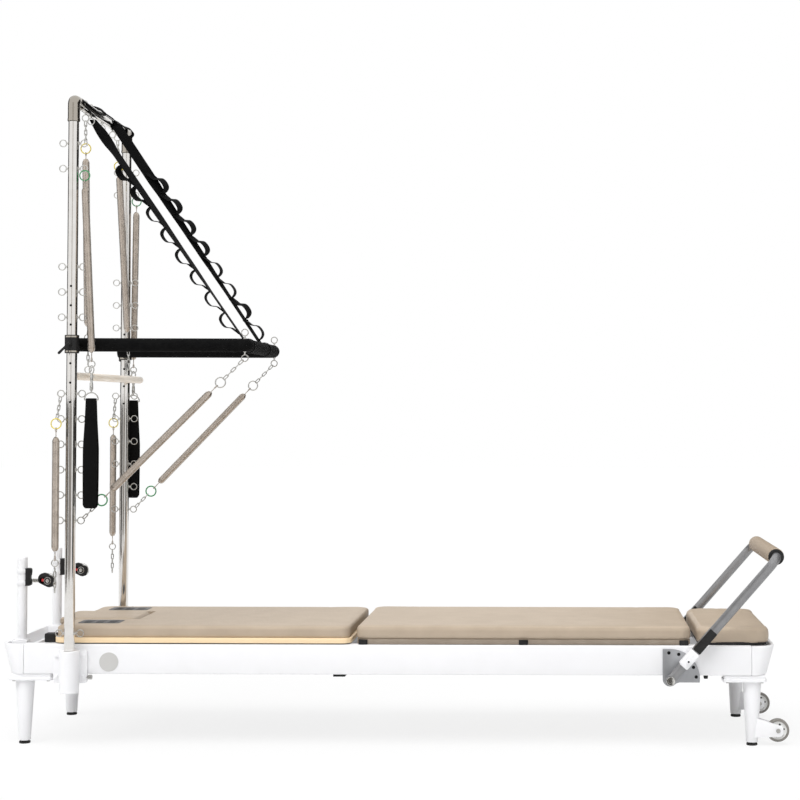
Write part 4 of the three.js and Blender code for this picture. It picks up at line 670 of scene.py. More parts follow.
def eyebolt(bm, face, way, axis, reach):
    """A plated eyebolt standing on a face: its ring, its shank, and the nut and washer on the face."""
    face, way = Vector(face), Vector(way)
    hoop(bm, face + way * reach, axis, EYE_RADIUS, EYE_WIRE)
    bar(bm, face - way * 2, face + way * (reach - EYE_RADIUS + 0.6), 2.8, rim=0, sides=12)
    bar(bm, face - way * 0.6, face + way * 1.3, 6, rim=0.3, sides=20)


NICKEL = Finish("bright_steel_tube", colour(230, 228, 225), 0.1, metallic=1.0)
NICKEL.tones(NICKEL.level(NICKEL.mottle(40), 0, 1), colour(232, 230, 227), colour(224, 221, 217))
NICKEL.roughen(NICKEL.mottle(2.0, stretch=(1, 1, 0.05)), 0.08, 0.16)
PLATED = Finish("plated_wire", colour(214, 213, 209), 0.24, metallic=1.0)
PLATED.roughen(PLATED.mottle(2.5), 0.18, 0.36)
# Painted shade: a near-black finish that stands for the dark inside of holes.
PAINTED_HOLE_SHADE = moulded_black("hole_shade", tone=12, roughness=0.9)
for side, sign in SIDES:
    y = sign * TOWER_Y
    bm = bmesh.new()
    bar(bm, (TOWER_X, y, 181.5), (TOWER_X, y, 2074.8), POST_RADIUS, rim=0.8, sides=56)
    known = set(bm.faces)
    # Painted shade: the pin holes are near-black discs flush with the tube.
    for step in range(-3, 4):
        if step:
            z = PUSH_Z + PIN_HOLE_PITCH * step
            bar(bm, (TOWER_X, y - 16.9, z), (TOWER_X, y + 16.9, z), PIN_HOLE_RADIUS, rim=0, sides=16)
    paint(bm, known, 1)
    made_piece(
        "upright_tube_" + side, bm, [NICKEL.material, PAINTED_HOLE_SHADE], "frame", ["tower_upright_" + side],
    )
    bm = bmesh.new()
    for z in EYE_HEIGHTS:
        for way in (-1, 1):
            seat = (TOWER_X + way * POST_RADIUS, y, z)
            eyebolt(bm, seat, (way, 0, 0), (0, 1, 0), EYE_REACH - POST_RADIUS)
    made_piece("upright_eyebolts_" + side, bm, PLATED.material, "frame")

# Crossbar: the same bright tube, held at each end in a cast elbow. Eyebolts hang from it on studs that show
# their nuts on top. Each elbow is one casting with a ring at either mouth.
CROSSBAR_Z, CROSSBAR_HALF = 2092, 327
ROLL_EYE_Y, SPARE_EYE_Y = 208, 140
bm = bmesh.new()
ends = [(TOWER_X, y, CROSSBAR_Z) for y in (-CROSSBAR_HALF, CROSSBAR_HALF)]
bar(bm, *ends, POST_RADIUS, rim=0.8, sides=56)
made_piece("crossbar_tube", bm, NICKEL.material, "frame", ["tower_crossbar"])
bm = bmesh.new()
for y in (-ROLL_EYE_Y, ROLL_EYE_Y, -SPARE_EYE_Y, SPARE_EYE_Y, 0):
    eyebolt(bm, (TOWER_X, y, CROSSBAR_Z - POST_RADIUS), (0, 0, -1), (0, 1, 0), EYE_REACH - POST_RADIUS)
    top = CROSSBAR_Z + POST_RADIUS
    bar(bm, (TOWER_X, y, top - 1), (TOWER_X, y, top + 0.9), 7.6, rim=0.3, sides=24)
    bar(bm, (TOWER_X, y, top), (TOWER_X, y, top + 6.4), 5.6, rim=0.7, sides=6)
    bar(bm, (TOWER_X, y, top + 5), (TOWER_X, y, top + 7.9), 3.1, rim=0.8, sides=16)
made_piece("crossbar_eyebolts", bm, PLATED.material, "frame")
CAST_NICKEL = Finish("satin_cast_nickel", colour(176, 170, 160), 0.15, metallic=1.0)
CAST_NICKEL.roughen(CAST_NICKEL.mottle(4), 0.12, 0.2)
CAST_NICKEL.relief(CAST_NICKEL.mottle(1.2), 0.05, 0.4)
ELBOW_REACH, ELBOW_BEND, ELBOW_RADIUS = 68, 15, 19.2
for side, sign in SIDES:
    corner = Vector((TOWER_X, sign * TOWER_Y, CROSSBAR_Z))
    down, inward = Vector((0, 0, -1)), Vector((0, -sign, 0))
    route = [corner + down * ELBOW_REACH, corner + down * 50, corner + down * 30]
    round_centre = corner + down * ELBOW_BEND + inward * ELBOW_BEND
    route += arc(round_centre, -inward, -down, ELBOW_BEND, 0, math.pi / 2, 10)
    route += [corner + inward * 30, corner + inward * 50, corner + inward * ELBOW_REACH]
    bm = bmesh.new()
    drawn(bm, route, ELBOW_RADIUS, sides=40, across=(1, 0, 0))
    for mouth in (down, inward):
        bar(bm, corner + mouth * 59, corner + mouth * ELBOW_REACH, 20, rim=0.9, sides=48)
        bar(bm, corner + mouth * 24, corner + mouth * 27, 19.7, rim=0.8, sides=48)
    made_piece("elbow_casting_" + side, bm, CAST_NICKEL.material, "frame", ["tower_elbow_" + side])

# Push-through bar: a steel tube bent to a U under a black foam sleeve, pinned to a collar on each upright. An
# eyebolt above and one below each corner take the straps' and the springs' hooks.
PUSH_Y, PUSH_END = 291, -473
PUSH_RADIUS = 22.5
PUSH_EYE_REACH, PUSH_PIN_END = 42, 327.6
FOAM = Finish("black_foam", colour(9, 9, 10), 0.85, Specular_IOR_Level=0.12)
FOAM.tones(FOAM.level(FOAM.mottle(18), 0, 1), colour(8, 8, 9), colour(17, 17, 17))
FOAM.relief(FOAM.cells(1.3), 0.25, 0.6)
bm = bmesh.new()
near_bend, far_bend, open_end = 11, 30, -1035.2
route = [Vector((open_end, -PUSH_Y, PUSH_Z)), Vector((-1000, -PUSH_Y, PUSH_Z))]
route += [Vector((x, -PUSH_Y, PUSH_Z)) for x in (-900, -800, -700, -600, -510)]
route += arc(
    (PUSH_END - near_bend, -PUSH_Y + near_bend, PUSH_Z), (0, -1, 0), (1, 0, 0), near_bend, 0, math.pi / 2, 3,
)
route += [Vector((PUSH_END, y, PUSH_Z)) for y in (-240, -120, 0, 120, 230)]
route += arc((PUSH_END - far_bend, PUSH_Y - far_bend, PUSH_Z), (1, 0, 0), (0, 1, 0), far_bend, 0, math.pi / 2, 8)
route += [Vector((x, PUSH_Y, PUSH_Z)) for x in (-560, -700, -800, -900, -1000, open_end)]
drawn(bm, route, PUSH_RADIUS - 0.3, sides=40, across=(0, 0, 1))
known = set(bm.faces)
for side, sign in SIDES:
    bar(bm, (TOWER_X, sign * PUSH_Y, PUSH_Z), (TOWER_X, sign * PUSH_PIN_END, PUSH_Z), 5.9, rim=0.4, sides=24)
    for way in (-1, 1):
        seat = (PUSH_END - 1, sign * (PUSH_Y - 1), PUSH_Z + way * (PUSH_RADIUS - 1.2))
        eyebolt(bm, seat, (0, 0, way), (0, 1, 0), PUSH_EYE_REACH - PUSH_RADIUS + 1.2)
paint(bm, known, 1)
made_piece(
    "push_bar_foam", bm, [FOAM.material, PLATED.material], "push_through_bar", ["push_through_bar"],
)

# Push-bar collars: a black nylon sleeve on each upright with a boss for the bar's pin, and a bright band at each
# end. The lock pin's black toggle lever leans out and down.
BOSS_Y, BAND_HEIGHTS = 313.8, (1273, 1321)
LEVER_Y, LEVER_HUB, LOCK_PIN = 387, (368.4, 377), (354.2, 386)
# The lever's section: how far down it from its root, and its radius there.
LEVER_SHAPE = ((-5.6, 3.4), (-3.6, 4.6), (4, 4.7), (16, 3.7), (30, 4.1), (42, 4.5), (45.8, 3.2))
for side, sign in SIDES:
    y = sign * TOWER_Y
    bm = bmesh.new()
    turned(bm, [
        (17.2, 1270.4), (21.8, 1270.4), (22.9, 1271.6), (22.9, 1328.4), (21.8, 1329.6), (17.2, 1329.6),
        (17.2, 1270.4),
    ], (TOWER_X, y, 0), (0, 0, 1), steps=48)
    turned(bm, [
        (6.4, 0), (12, 0), (13.1, 1.2), (13.1, 14.5), (6.4, 14.5), (6.4, 0),
    ], (TOWER_X, sign * BOSS_Y, PUSH_Z), (0, sign, 0), steps=40)
    known = set(bm.faces)
    for z in BAND_HEIGHTS:
        turned(bm, [
            (22.4, z), (22.98, z + 0.4), (22.98, z + 5.6), (22.4, z + 6), (22.4, z),
        ], (TOWER_X, y, 0), (0, 0, 1), steps=48)
    paint(bm, known, 1)
    made_piece(
        "collar_" + side, bm, [BLACK_MOULDING, CAST_NICKEL.material], "frame",
        ["push_bar_collar_" + side],
    )
    root = Vector((TOWER_X, sign * LEVER_Y, PUSH_Z))
    lean = Vector((-1, 0, -1)).normalized()
    bm = bmesh.new()
    drawn(
        bm, [root + lean * down for down, _ in LEVER_SHAPE], [radius for _, radius in LEVER_SHAPE], sides=20,
        across=(0, 1, 0),
    )
    bar(bm, *((TOWER_X, sign * y, PUSH_Z) for y in LEVER_HUB), 7.6, rim=1.2, sides=28)
    known = set(bm.faces)
    bar(bm, *((TOWER_X, sign * y, PUSH_Z) for y in LOCK_PIN), 3.9, rim=0.4, sides=20)
    paint(bm, known, 1)
    made_piece(
        "lock_lever_" + side, bm, [BLACK_MOULDING, PLATED.material], "push_bar_lock_pin_" + side,
        ["push_bar_lock_pin_" + side],
    )

# Looped straps: black webbing with eight sewn hand loops, knotted round the crossbar and sewn round the
# push-through bar. Each starts flat to the side and turns on edge further down, as it hangs twisted.
def webbing_finish(name, tone):
    """Woven webbing: ribs across it, finer yarns along it, painted shade in the grooves, painted light on the ribs.
    """
    rib = 1.5
    finish = Finish(
        name, colour(tone, tone, tone + 1), 0.8, Specular_IOR_Level=0.12, Sheen_Weight=0.03, Sheen_Roughness=0.4,
    )
    ribs = finish.stripes(rib, "Y", source="UV", wander=0.4)
    yarns = finish.stripes(rib * 0.8, "X", source="UV", wander=0.4)
    # Painted shade and light: the grooves between the ribs are painted darker and the ribs' crowns lighter.
    painted_groove_shade, painted_crown_light = colour(tone - 6, tone - 6, tone - 5), colour(tone + 10, tone + 10, tone + 10)
    finish.tones(finish.level(ribs, 0, 1, 0.1, 0.9), painted_groove_shade, painted_crown_light)
    ribbed = finish.relief(ribs, 0.3, 0.7)
    finish.relief(yarns, 0.2, 0.5, after=ribbed)
    return finish.material


WEBBING = webbing_finish("black_webbing", 9)
STRAP_WIDTH, STRAP_THICKNESS = 34, 2.6
SPAN_X, SPAN_Z = PUSH_END - TOWER_X, PUSH_Z - CROSSBAR_Z
SPAN = math.hypot(SPAN_X, SPAN_Z)
SPAN_WAY = Vector((SPAN_X / SPAN, 0, SPAN_Z / SPAN))
SPAN_UP = Vector((-SPAN_Z / SPAN, 0, SPAN_X / SPAN))
LOOP_PITCH, LOOP_REACH = 88.2, 71
STRAP_LIFT = 15
# A hand loop's line: how far along the strap, and how far off it.
LOOP_LINE = ((-8, 1.2), (-1, 3), (-0.5, 11), (3, 20), (10, 26.6), (20, 29.2), (32, 29), (42.5, 25.8), (50, 18),
             (55.5, 12), (62, 9), (71, 6.4), (80, 3.2), (88, 1.2))


def smooth_share(value):
    """A share from 0 to 1, eased at both ends."""
    value = min(1.0, max(0.0, value))
    return value * value * (3 - 2 * value)


def through(points):
    """A smooth line through a few points, as four times as many."""
    steps = 4
    points = [Vector(point) for point in points]
    ends = [2 * points[0] - points[1]] + points + [2 * points[-1] - points[-2]]
    route = [points[0]]
    for a, b, c, d in zip(ends, ends[1:], ends[2:], ends[3:]):
        for step in range(1, steps + 1):
            t = step / steps
            curve = 2 * b + (c - a) * t + (2 * a - 5 * b + 4 * c - d) * t * t + (3 * b - a - 3 * c + d) * t ** 3
            route.append(curve / 2)
    return route


def at_place(table, place):
    """A value from a table of (place, value), eased from each to the next."""
    for (low, first), (high, second) in zip(table, table[1:]):
        if place <= high:
            return first + (second - first) * smooth_share((place - low) / (high - low))
    return table[-1][1]


def lean_across(share):
    """The way that webbing is wide, when so much of its width faces sideways."""
    return Vector((0, 1, 0)) * math.sqrt(1 - share * share) + SPAN_UP * share


def on_crossbar(y, turn, lift):
    """A place on the crossbar: along it, round it in degrees, and off its face."""
    turn = math.radians(turn)
    reach = POST_RADIUS + lift
    return Vector((TOWER_X + reach * math.cos(turn), y, CROSSBAR_Z + reach * math.sin(turn)))


# Of each strap: its side, its Y at the crossbar and at the bar, where its first loop starts, the way that its
# loops stand, how much of its width faces sideways along it and on each loop, and its windings on the crossbar.
STRAPS = (
    ("near", -112, -232, 210, -1,
     ((0, 0.35), (95, 0.98), (175, 0.54), (380, 0.45), (612, 0.22), (779, 0.04), (965, 0.03)),
     (0.52, 0.4, 0.08, 0.13, 0.09, 0.06, 0.04, 0.08),
     (((-112, -60, 2.5), (-170, -48, 3), (-240, -30, 3), (-300, -8, 3), (-312, 8, 3), (-296, 22, 3), (-240, 14, 3),
       (-150, 4, 3), (-76, 2, 4), (-46, 22, 7), (-60, 52, 7), (-104, 76, 3), (-124, 120, 2)),
      ((-104, 112, 2), (-84, 66, 4), (-30, 54, 3.5), (50, 50, 3), (100, 44, 3)))),
    ("far", 100, 75, 238, 1,
     ((0, 0.75), (50, 0.98), (243, 0.96), (322, 0.72), (483, 0.5), (566, 0.45), (650, 0.3), (738, 0.2),
      (965, 0.16)),
     (0.46, 0.44, 0.4, 0.38, 0.14, 0.1, 0.4, 0.1),
     (((96, 46, 3), (104, 10, 3), (106, -40, 3), (100, -70, 2)),
      ((112, 30, 2.5), (170, 36, 2.5), (240, 30, 3), (286, 16, 12), (300, -14, 16), (288, -40, 12),
       (255, -56, 3)))),
)
for side, top_y, end_y, first_loop, stands, strap_lean, loop_leans, windings in STRAPS:
    def on_strap(s, n=0.0):
        """A place on this strap: along it from the crossbar, and off its face."""
        place = Vector((TOWER_X, top_y + (end_y - top_y) * s / SPAN, CROSSBAR_Z))
        return place + SPAN_WAY * s + SPAN_UP * (n + stands * STRAP_LIFT * (1 - s / SPAN))

    bm = bmesh.new()
    band_start, band_end = POST_RADIUS + 2, SPAN - PUSH_RADIUS - 1
    rows = 70
    places = [band_start + (band_end - band_start) * row / rows for row in range(rows + 1)]
    drawn(
        bm, [on_strap(s) for s in places], STRAP_WIDTH / 2, STRAP_THICKNESS / 2, sides=12,
        across=[lean_across(at_place(strap_lean, s)) for s in places], square=0.35,
    )
    for number, lean in enumerate(loop_leans):
        start = first_loop + LOOP_PITCH * number
        line = LOOP_LINE if stands < 0 else [(LOOP_REACH - s, n) for s, n in reversed(LOOP_LINE)]
        route = through([on_strap(min(start + s, band_end), stands * n) for s, n in line])
        drawn(
            bm, route, STRAP_WIDTH / 2 * 0.96, STRAP_THICKNESS / 2, sides=12, across=lean_across(lean), square=0.35,
        )
    for winding in windings:
        drawn(
            bm, through([on_crossbar(*spot) for spot in winding]), 5.5, 1.5, sides=12,
            across=(0.5, 0.1, -0.6), square=0.35,
        )
    hold = on_strap(SPAN)
    start_turn = math.atan2(SPAN_WAY.z, SPAN_WAY.x) + math.pi
    wrap = arc(hold, (1, 0, 0), (0, 0, 1), PUSH_RADIUS + 1.2, start_turn, start_turn + 2 * math.pi, 30)
    drawn(bm, wrap, 8, 1.1, sides=12, across=(0, 1, 0), square=0.35)
    strap = made_piece(
        "loop_strap_" + side, bm, WEBBING, None, ["looped_strap_" + side], crease=50,
    )
    ends = [(on_strap(s) + Vector((MIDDLE_X, 0, 0))) * MM for s in (40, SPAN - 40)]
    tuple(ends[0])
    tuple(ends[1])
    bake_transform(strap)

# Push springs: close-wound spring wire with drawn-in ends, hooked through a coloured tag ring below and a bright
# one above, with a short chain to an eyebolt at either end. They run from the uprights to the bar's corners.
COIL_RADIUS, COIL_WIRE = 12.2, 3.4
TAG_RADIUS = 16.3
TAG_CATCH, EYE_CATCH = 12.6, EYE_RADIUS - 3.4
SPRING_WIRE = Finish("spring_wire", colour(216, 206, 196), 0.18, metallic=1.0)
SPRING_WIRE.tones(SPRING_WIRE.level(SPRING_WIRE.mottle(22), 0, 1), colour(219, 209, 199), colour(202, 192, 181))
SPRING_WIRE.roughen(SPRING_WIRE.mottle(3), 0.14, 0.24)


def tag_finish(name, tone):
    """The plastic of a tag ring, a little darker in patches, with a fine grain."""
    finish = Finish(name, tone, 0.4)
    finish.tones(finish.level(finish.mottle(6), 0, 1), tone, mixed(tone, (0.02, 0.02, 0.02), 0.12))
    finish.relief(finish.mottle(0.8, detail=1), 0.04, 0.4)
    return finish.material


GREEN_TAG = tag_finish("green_tag", colour(62, 148, 92))
YELLOW_TAG = tag_finish("yellow_tag", colour(232, 212, 96))


def close_wound(bm, start, end, finish):
    """A close-wound spring between two points, its last turns drawn in to a rounded cone."""
    start, end = Vector(start), Vector(end)
    length = (end - start).length
    turns = round(length / COIL_WIRE)
    lead = length / turns
    coil = bmesh.new()
    half_wire = COIL_WIRE / 2
    stand = Matrix.Translation((COIL_RADIUS - half_wire, 0, half_wire)) @ Matrix.Rotation(math.pi / 2, 4, "X")
    bmesh.ops.create_circle(coil, segments=6, radius=half_wire, matrix=stand)
    section = bpy.data.meshes.new("wire_section")
    coil.to_mesh(section)
    coil.clear()
    holder = bpy.data.objects.new("wire_section", section)
    bpy.context.scene.collection.objects.link(holder)
    winding = holder.modifiers.new("winding", "SCREW")
    winding.axis = "Z"
    winding.angle = 2 * math.pi
    winding.steps = winding.render_steps = 14
    winding.iterations = turns - 1
    winding.screw_offset = lead
    wound = bpy.data.meshes.new_from_object(holder.evaluated_get(bpy.context.evaluated_depsgraph_get()))
    bpy.data.objects.remove(holder)
    coil.from_mesh(wound)
    bmesh.ops.holes_fill(coil, edges=[e for e in coil.edges if len(e.link_faces) == 1], sides=0)
    drawn_in = 4.5 * lead
    for vert in coil.verts:
        share = min(1.0, max(0.0, min(vert.co.z, length - vert.co.z) / drawn_in))
        draw = 0.42 + 0.58 * math.sin(share * math.pi / 2)
        vert.co.x, vert.co.y = vert.co.x * draw, vert.co.y * draw
    for face in coil.faces:
        face.material_index = finish
    coil.transform(Matrix.Translation(start) @ (end - start).to_track_quat("Z", "Y").to_matrix().to_4x4())
    coil.to_mesh(wound)
    coil.free()
    bm.from_mesh(wound)


def spring_hook(bm, end, ring_centre, ring_radius, axis):
    """The loop that ends a spring: the wire leaves the coil's middle and goes round a ring and back."""
    end, ring_centre = Vector(end), Vector(ring_centre)
    way = (ring_centre - end).normalized()
    catch = ring_centre - way * ring_radius
    flat = Vector(axis).normalized()
    lead = (catch - end).length
    loop_radius = min(7.0, lead * 0.3)
    middle = catch - way * (loop_radius - 3.4)
    route = [end - way * 5, end + way * (lead * 0.12)]
    route += arc(middle, flat, way, loop_radius, -math.pi / 2, 1.42 * math.pi, 20)
    drawn(bm, route, 1.5, sides=8)


def link_chain(bm, start, end, flat, half_length=11.5, half_width=5.4, wire=1.6):
    """A short chain of welded links, each turned a quarter from the last."""
    start, end = Vector(start), Vector(end)
    way = (end - start).normalized()
    length = (end - start).length
    room = 2 * (half_length - 2 * wire)
    count = max(1, round((length - 2 * wire) / room))
    pitch = (length - 2 * half_length) / (count - 1) if count > 1 else 0
    flat = (Vector(flat) - way * way.dot(Vector(flat))).normalized()
    for number in range(count):
        middle = start + way * (half_length + pitch * number) if count > 1 else (start + end) / 2
        face = flat if number % 2 == 0 else way.cross(flat)
        side = way.cross(face)
        straight = half_length - half_width
        mean = half_width - wire
        route = arc(middle + way * straight, side, way, mean, 0, math.pi, 7)
        route += arc(middle - way * straight, side, way, mean, math.pi, 2 * math.pi, 7)
        route.append(route[0].copy())
        drawn(bm, route, wire, sides=6, across=face, closed=True)


def tag_ring(bm, centre, radius=TAG_RADIUS, wire=1.95):
    """A plastic ring that joins a chain to a spring's hook and tells its strength by its colour."""
    hoop(bm, centre, (0, 1, 0), radius, wire, steps=32, sides=10)


LOWER_CHAIN, UPPER_CHAIN = 76, 96
LOWER_REACH, UPPER_REACH = 134.6, 154.6
for side, sign in SIDES:
    start = Vector((TOWER_X + EYE_REACH, sign * TOWER_Y, LOW_EYE_Z))
    end = Vector((PUSH_END, sign * PUSH_Y, PUSH_Z - PUSH_EYE_REACH))
    way = (end - start).normalized()
    lower_tag = start + way * (LOWER_CHAIN + TAG_RADIUS)
    upper_tag = end - way * (UPPER_CHAIN + TAG_RADIUS)
    coil_low = start + way * LOWER_REACH
    coil_high = end - way * UPPER_REACH
    bm = bmesh.new()
    link_chain(bm, start + way * EYE_CATCH, lower_tag - way * TAG_CATCH, (0, 1, 0))
    known = set(bm.faces)
    tag_ring(bm, lower_tag, 18, 2.3)
    paint(bm, known, 1)
    known = set(bm.faces)
    spring_hook(bm, coil_low, lower_tag, TAG_RADIUS, (0, 1, 0))
    paint(bm, known, 2)
    close_wound(bm, coil_low, coil_high, 2)
    spring = made_piece(
        "push_spring_coil_" + side, bm, [PLATED.material, GREEN_TAG, SPRING_WIRE.material], None,
        ["push_spring_" + side], crease=60,
    )
    ends = [(point + Vector((MIDDLE_X, 0, 0))) * MM for point in (coil_low, coil_high)]
    tuple(ends[0])
    tuple(ends[1])
    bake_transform(spring)
    bm = bmesh.new()
    link_chain(bm, upper_tag + way * TAG_CATCH, end - way * EYE_CATCH, (0, 1, 0))
    tag_ring(bm, upper_tag)
    known = set(bm.faces)
    spring_hook(bm, coil_high, upper_tag, TAG_RADIUS, (0, 1, 0))
    paint(bm, known, 1)
    made_piece(
        "push_spring_hook_" + side, bm, [PLATED.material, SPRING_WIRE.material], "push_spring_link_" + side,
        ["push_spring_link_" + side], crease=60,
    )


# Leg springs: the same close-wound springs, hanging from the head-side eyebolts on a chain with a yellow tag
# ring, with a bright ring and a free chain below.
def hanging_spring(bm, eye, tag, coil_top, coil_foot, ring_centre, chain_end, colours):
    """A spring that hangs from an eyebolt, from the top down: chain, tag ring, hook, coil, hook, ring and, if its
    end is given, a lower chain. The colours are the numbers of its plated, tag and wound finishes."""
    plated, tagged, wound = colours
    eye, tag, coil_top, coil_foot = (Vector(p) for p in (eye, tag, coil_top, coil_foot))
    down = (coil_foot - coil_top).normalized()
    hang = (tag - eye).normalized()
    known = set(bm.faces)
    if (eye - tag).length > 30:
        link_chain(bm, eye + hang * EYE_CATCH, tag - hang * TAG_CATCH, (0, 1, 0))
    hoop(bm, ring_centre, (0, 1, 0), EYE_RADIUS, EYE_WIRE)
    if chain_end is not None:
        link_chain(bm, Vector(ring_centre) + down * (EYE_RADIUS - 3), chain_end, (1, 0, 0))
    paint(bm, known, plated)
    known = set(bm.faces)
    tag_ring(bm, tag)
    paint(bm, known, tagged)
    known = set(bm.faces)
    spring_hook(bm, coil_top, tag, TAG_RADIUS, (0, 1, 0))
    spring_hook(bm, coil_foot, ring_centre, EYE_RADIUS, (0, 1, 0))
    paint(bm, known, wound)
    close_wound(bm, coil_top, coil_foot, wound)


SPRING_FINISHES = [PLATED.material, GREEN_TAG, YELLOW_TAG, SPRING_WIRE.material]
LEG_EYE_Z, LEG_SPRING_Y = LOW_EYE_Z + 5 * EYE_PITCH, 359.9
LEG_TAG_Z, LEG_COIL_Z, LEG_RING_Z, LEG_CHAIN_Z = 1042, (999.7, 630), 593, 496
for side, sign in SIDES:
    x, y = TOWER_X - EYE_REACH - 11, sign * LEG_SPRING_Y
    eye = (TOWER_X - EYE_REACH, sign * TOWER_Y, LEG_EYE_Z)
    heights = (LEG_TAG_Z, *LEG_COIL_Z, LEG_RING_Z, LEG_CHAIN_Z)
    bm = bmesh.new()
    hanging_spring(bm, eye, *((x, y, z) for z in heights), (0, 2, 3))
    made_piece(
        "leg_spring_coil_" + side, bm, SPRING_FINISHES, "leg_spring_" + side,
        ["leg_spring_" + side], crease=60,
    )

# Foot straps: on each high eyebolt a long spring with a green tag ring, and from its lower ring a snap hook, a
# swivel and a bright D ring. A padded black webbing loop, sewn together below its neck, hangs in the D ring.
# Of each foot strap: its side, its tag ring's place and the place of its coil's foot.
FOOT_STRAPS = (
    ("near", -1, Vector((-987, -346, 1847.5)), Vector((-957, -356, 1272))),
    ("far", 1, Vector((-988, 348, 1847.5)), Vector((-1002, 378, 1272))),
)
HOOK_ROUTE = (
    (0, -18), (5.5, -14), (7.5, -4), (5, 5), (0, 8), (-5, 5), (-7.5, -4), (-5.5, -14), (-1, -20), (0, -24),
)
HOOK_TOP_Z, HOOK_FOOT_Z, HOOK_LEVER_Z = 1222, 1163, 1196
D_RADIUS, D_TOP_Z, D_FLAT_Z, D_WIRE = 22, 1121, 1119.5, 2.1
STRAP_TOP_Z, STRAP_LENGTH = 1119, 350
STRAP_HALF, NECK_HALF = 13.0 - 1.5, 5.8 - 1.4
for side, sign, tag, foot in FOOT_STRAPS:
    eye = Vector((TOWER_X + EYE_REACH, sign * TOWER_Y, STRAP_EYE_Z))
    down = (foot - tag).normalized()
    coil_top = tag + down * (TAG_RADIUS + 21)
    ring_centre = foot - Vector((0, 0, 37))
    bm = bmesh.new()
    x, y = foot.x, foot.y
    hook_route = [(x + aside, y, HOOK_TOP_Z + up) for aside, up in HOOK_ROUTE]
    drawn(bm, hook_route, 2.1, sides=10, across=(0, 1, 0))
    body_heights = (HOOK_TOP_Z - 16, HOOK_TOP_Z - 22, 1186, 1178, 1174, HOOK_FOOT_Z)
    drawn(
        bm, [(x, y, z) for z in body_heights], [3.2, 4.6, 4.8, 3.4, 5.2, 5.6], sides=20, across=(1, 0, 0),
    )
    bar(bm, (x + 3, y, HOOK_LEVER_Z), (x + 9, y, HOOK_LEVER_Z), 2.2, rim=0.5, sides=16)
    link_chain(bm, (x, y, HOOK_FOOT_Z + 4), (x, y, 1143), (0, 1, 0), half_length=9.5, half_width=5.8, wire=1.9)
    d_route = [(x - D_RADIUS, y, D_FLAT_Z), (x - D_RADIUS, y, D_TOP_Z)]
    d_route += arc((x, y, D_TOP_Z), (-1, 0, 0), (0, 0, 1), D_RADIUS, 0.05, math.pi - 0.05, 18)
    d_route += [(x + D_RADIUS, y, D_TOP_Z), (x + D_RADIUS, y, D_FLAT_Z)]
    d_route += [(x, y, D_FLAT_Z - 0.5), (x - D_RADIUS, y, D_FLAT_Z)]
    drawn(bm, d_route, D_WIRE, sides=10, across=(0, 1, 0), closed=True)
    hanging_spring(bm, eye, tag, coil_top, foot, ring_centre, None, (0, 1, 3))
    made_piece(
        "foot_strap_coil_" + side, bm, SPRING_FINISHES, "foot_strap_" + side,
        ["foot_strap_spring_" + side], crease=60,
    )
    bm = bmesh.new()
    half, neck, top = STRAP_HALF, NECK_HALF, STRAP_TOP_Z
    foot_z = top - STRAP_LENGTH + 13
    half_turn = [math.pi * k / 8 for k in range(1, 8)]
    outline = [(neck, top - 70), (neck, top - 2)]
    outline += [(neck * math.cos(a), top + neck * math.sin(a)) for a in half_turn]
    outline += [(-neck, top - 2), (-neck, top - 70), (-neck - 2.4, top - 95)]
    outline += [(-half, top - 157), (-half, top - 250), (-half, foot_z)]
    outline += [(half * math.cos(math.pi + a), foot_z + half * math.sin(math.pi + a)) for a in half_turn]
    outline += [(half, foot_z), (half, top - 250), (half, top - 157), (neck + 2.4, top - 95), (neck, top - 70)]
    route = [(x, y + across, z) for across, z in outline]
    widths = []
    for across, z in outline:
        share = min(1.0, max(0.0, (top - z) / 157))
        rounding = max(0.0, (foot_z + 8 - z) / 21)
        widths.append((34 + 12 * share) / 2 * math.sqrt(1 - 0.55 * rounding * rounding))
    drawn(bm, route, widths, 1.5, sides=16, across=(1, 0, 0), square=0.3, closed=True)
    for z in (top - 62, top - 66):
        for face in (-1, 1):
            stitches = [(x - 15 + 30 * k / 10, y + face * (neck + 1.6), z) for k in range(11)]
            drawn(bm, stitches, 0.5, sides=5, across=(0, 0, 1))
    drawn(bm, [(x, y, top - 22), (x, y, top - 72)], 16, 2.6, sides=12, across=(1, 0, 0), square=0.3)
    made_piece(
        "foot_strap_webbing_" + side, bm, WEBBING, "foot_strap_" + side,
        ["foot_strap_" + side], crease=50,
    )

# Roll-down bar: a turned bar of pale maple with a clear coat and rounded ends, hung by two screw eyes from
# springs under the crossbar. Each spring has a yellow tag ring and a chain that clips to its eye.
PALE_WOOD = Finish("clear_coated_maple", colour(252, 242, 228), 0.4, Coat_Weight=0.25, Coat_Roughness=0.25)
grain = PALE_WOOD.mottle(7, detail=6, stretch=(1, 0.05, 1))
PALE_WOOD.tones(PALE_WOOD.level(grain, 0, 1), colour(254, 245, 232), colour(243, 228, 208))
PALE_WOOD.relief(grain, 0.1, 0.3)
ROLL_TURN, ROLL_HALF, ROLL_RADIUS = 0.0862, 325, 12.5
SCREW_EYE_PLACE, SCREW_EYE_LIFT, SCREW_EYE_TOP = 205, 23.5, 34.5
roll_way = Vector((math.sin(ROLL_TURN), math.cos(ROLL_TURN), 0))
roll_centre = Vector((-992, 0, 1197))
bm = bmesh.new()
bar(bm, roll_centre - roll_way * ROLL_HALF, roll_centre + roll_way * ROLL_HALF, ROLL_RADIUS, rim=3.5, sides=40)
known = set(bm.faces)
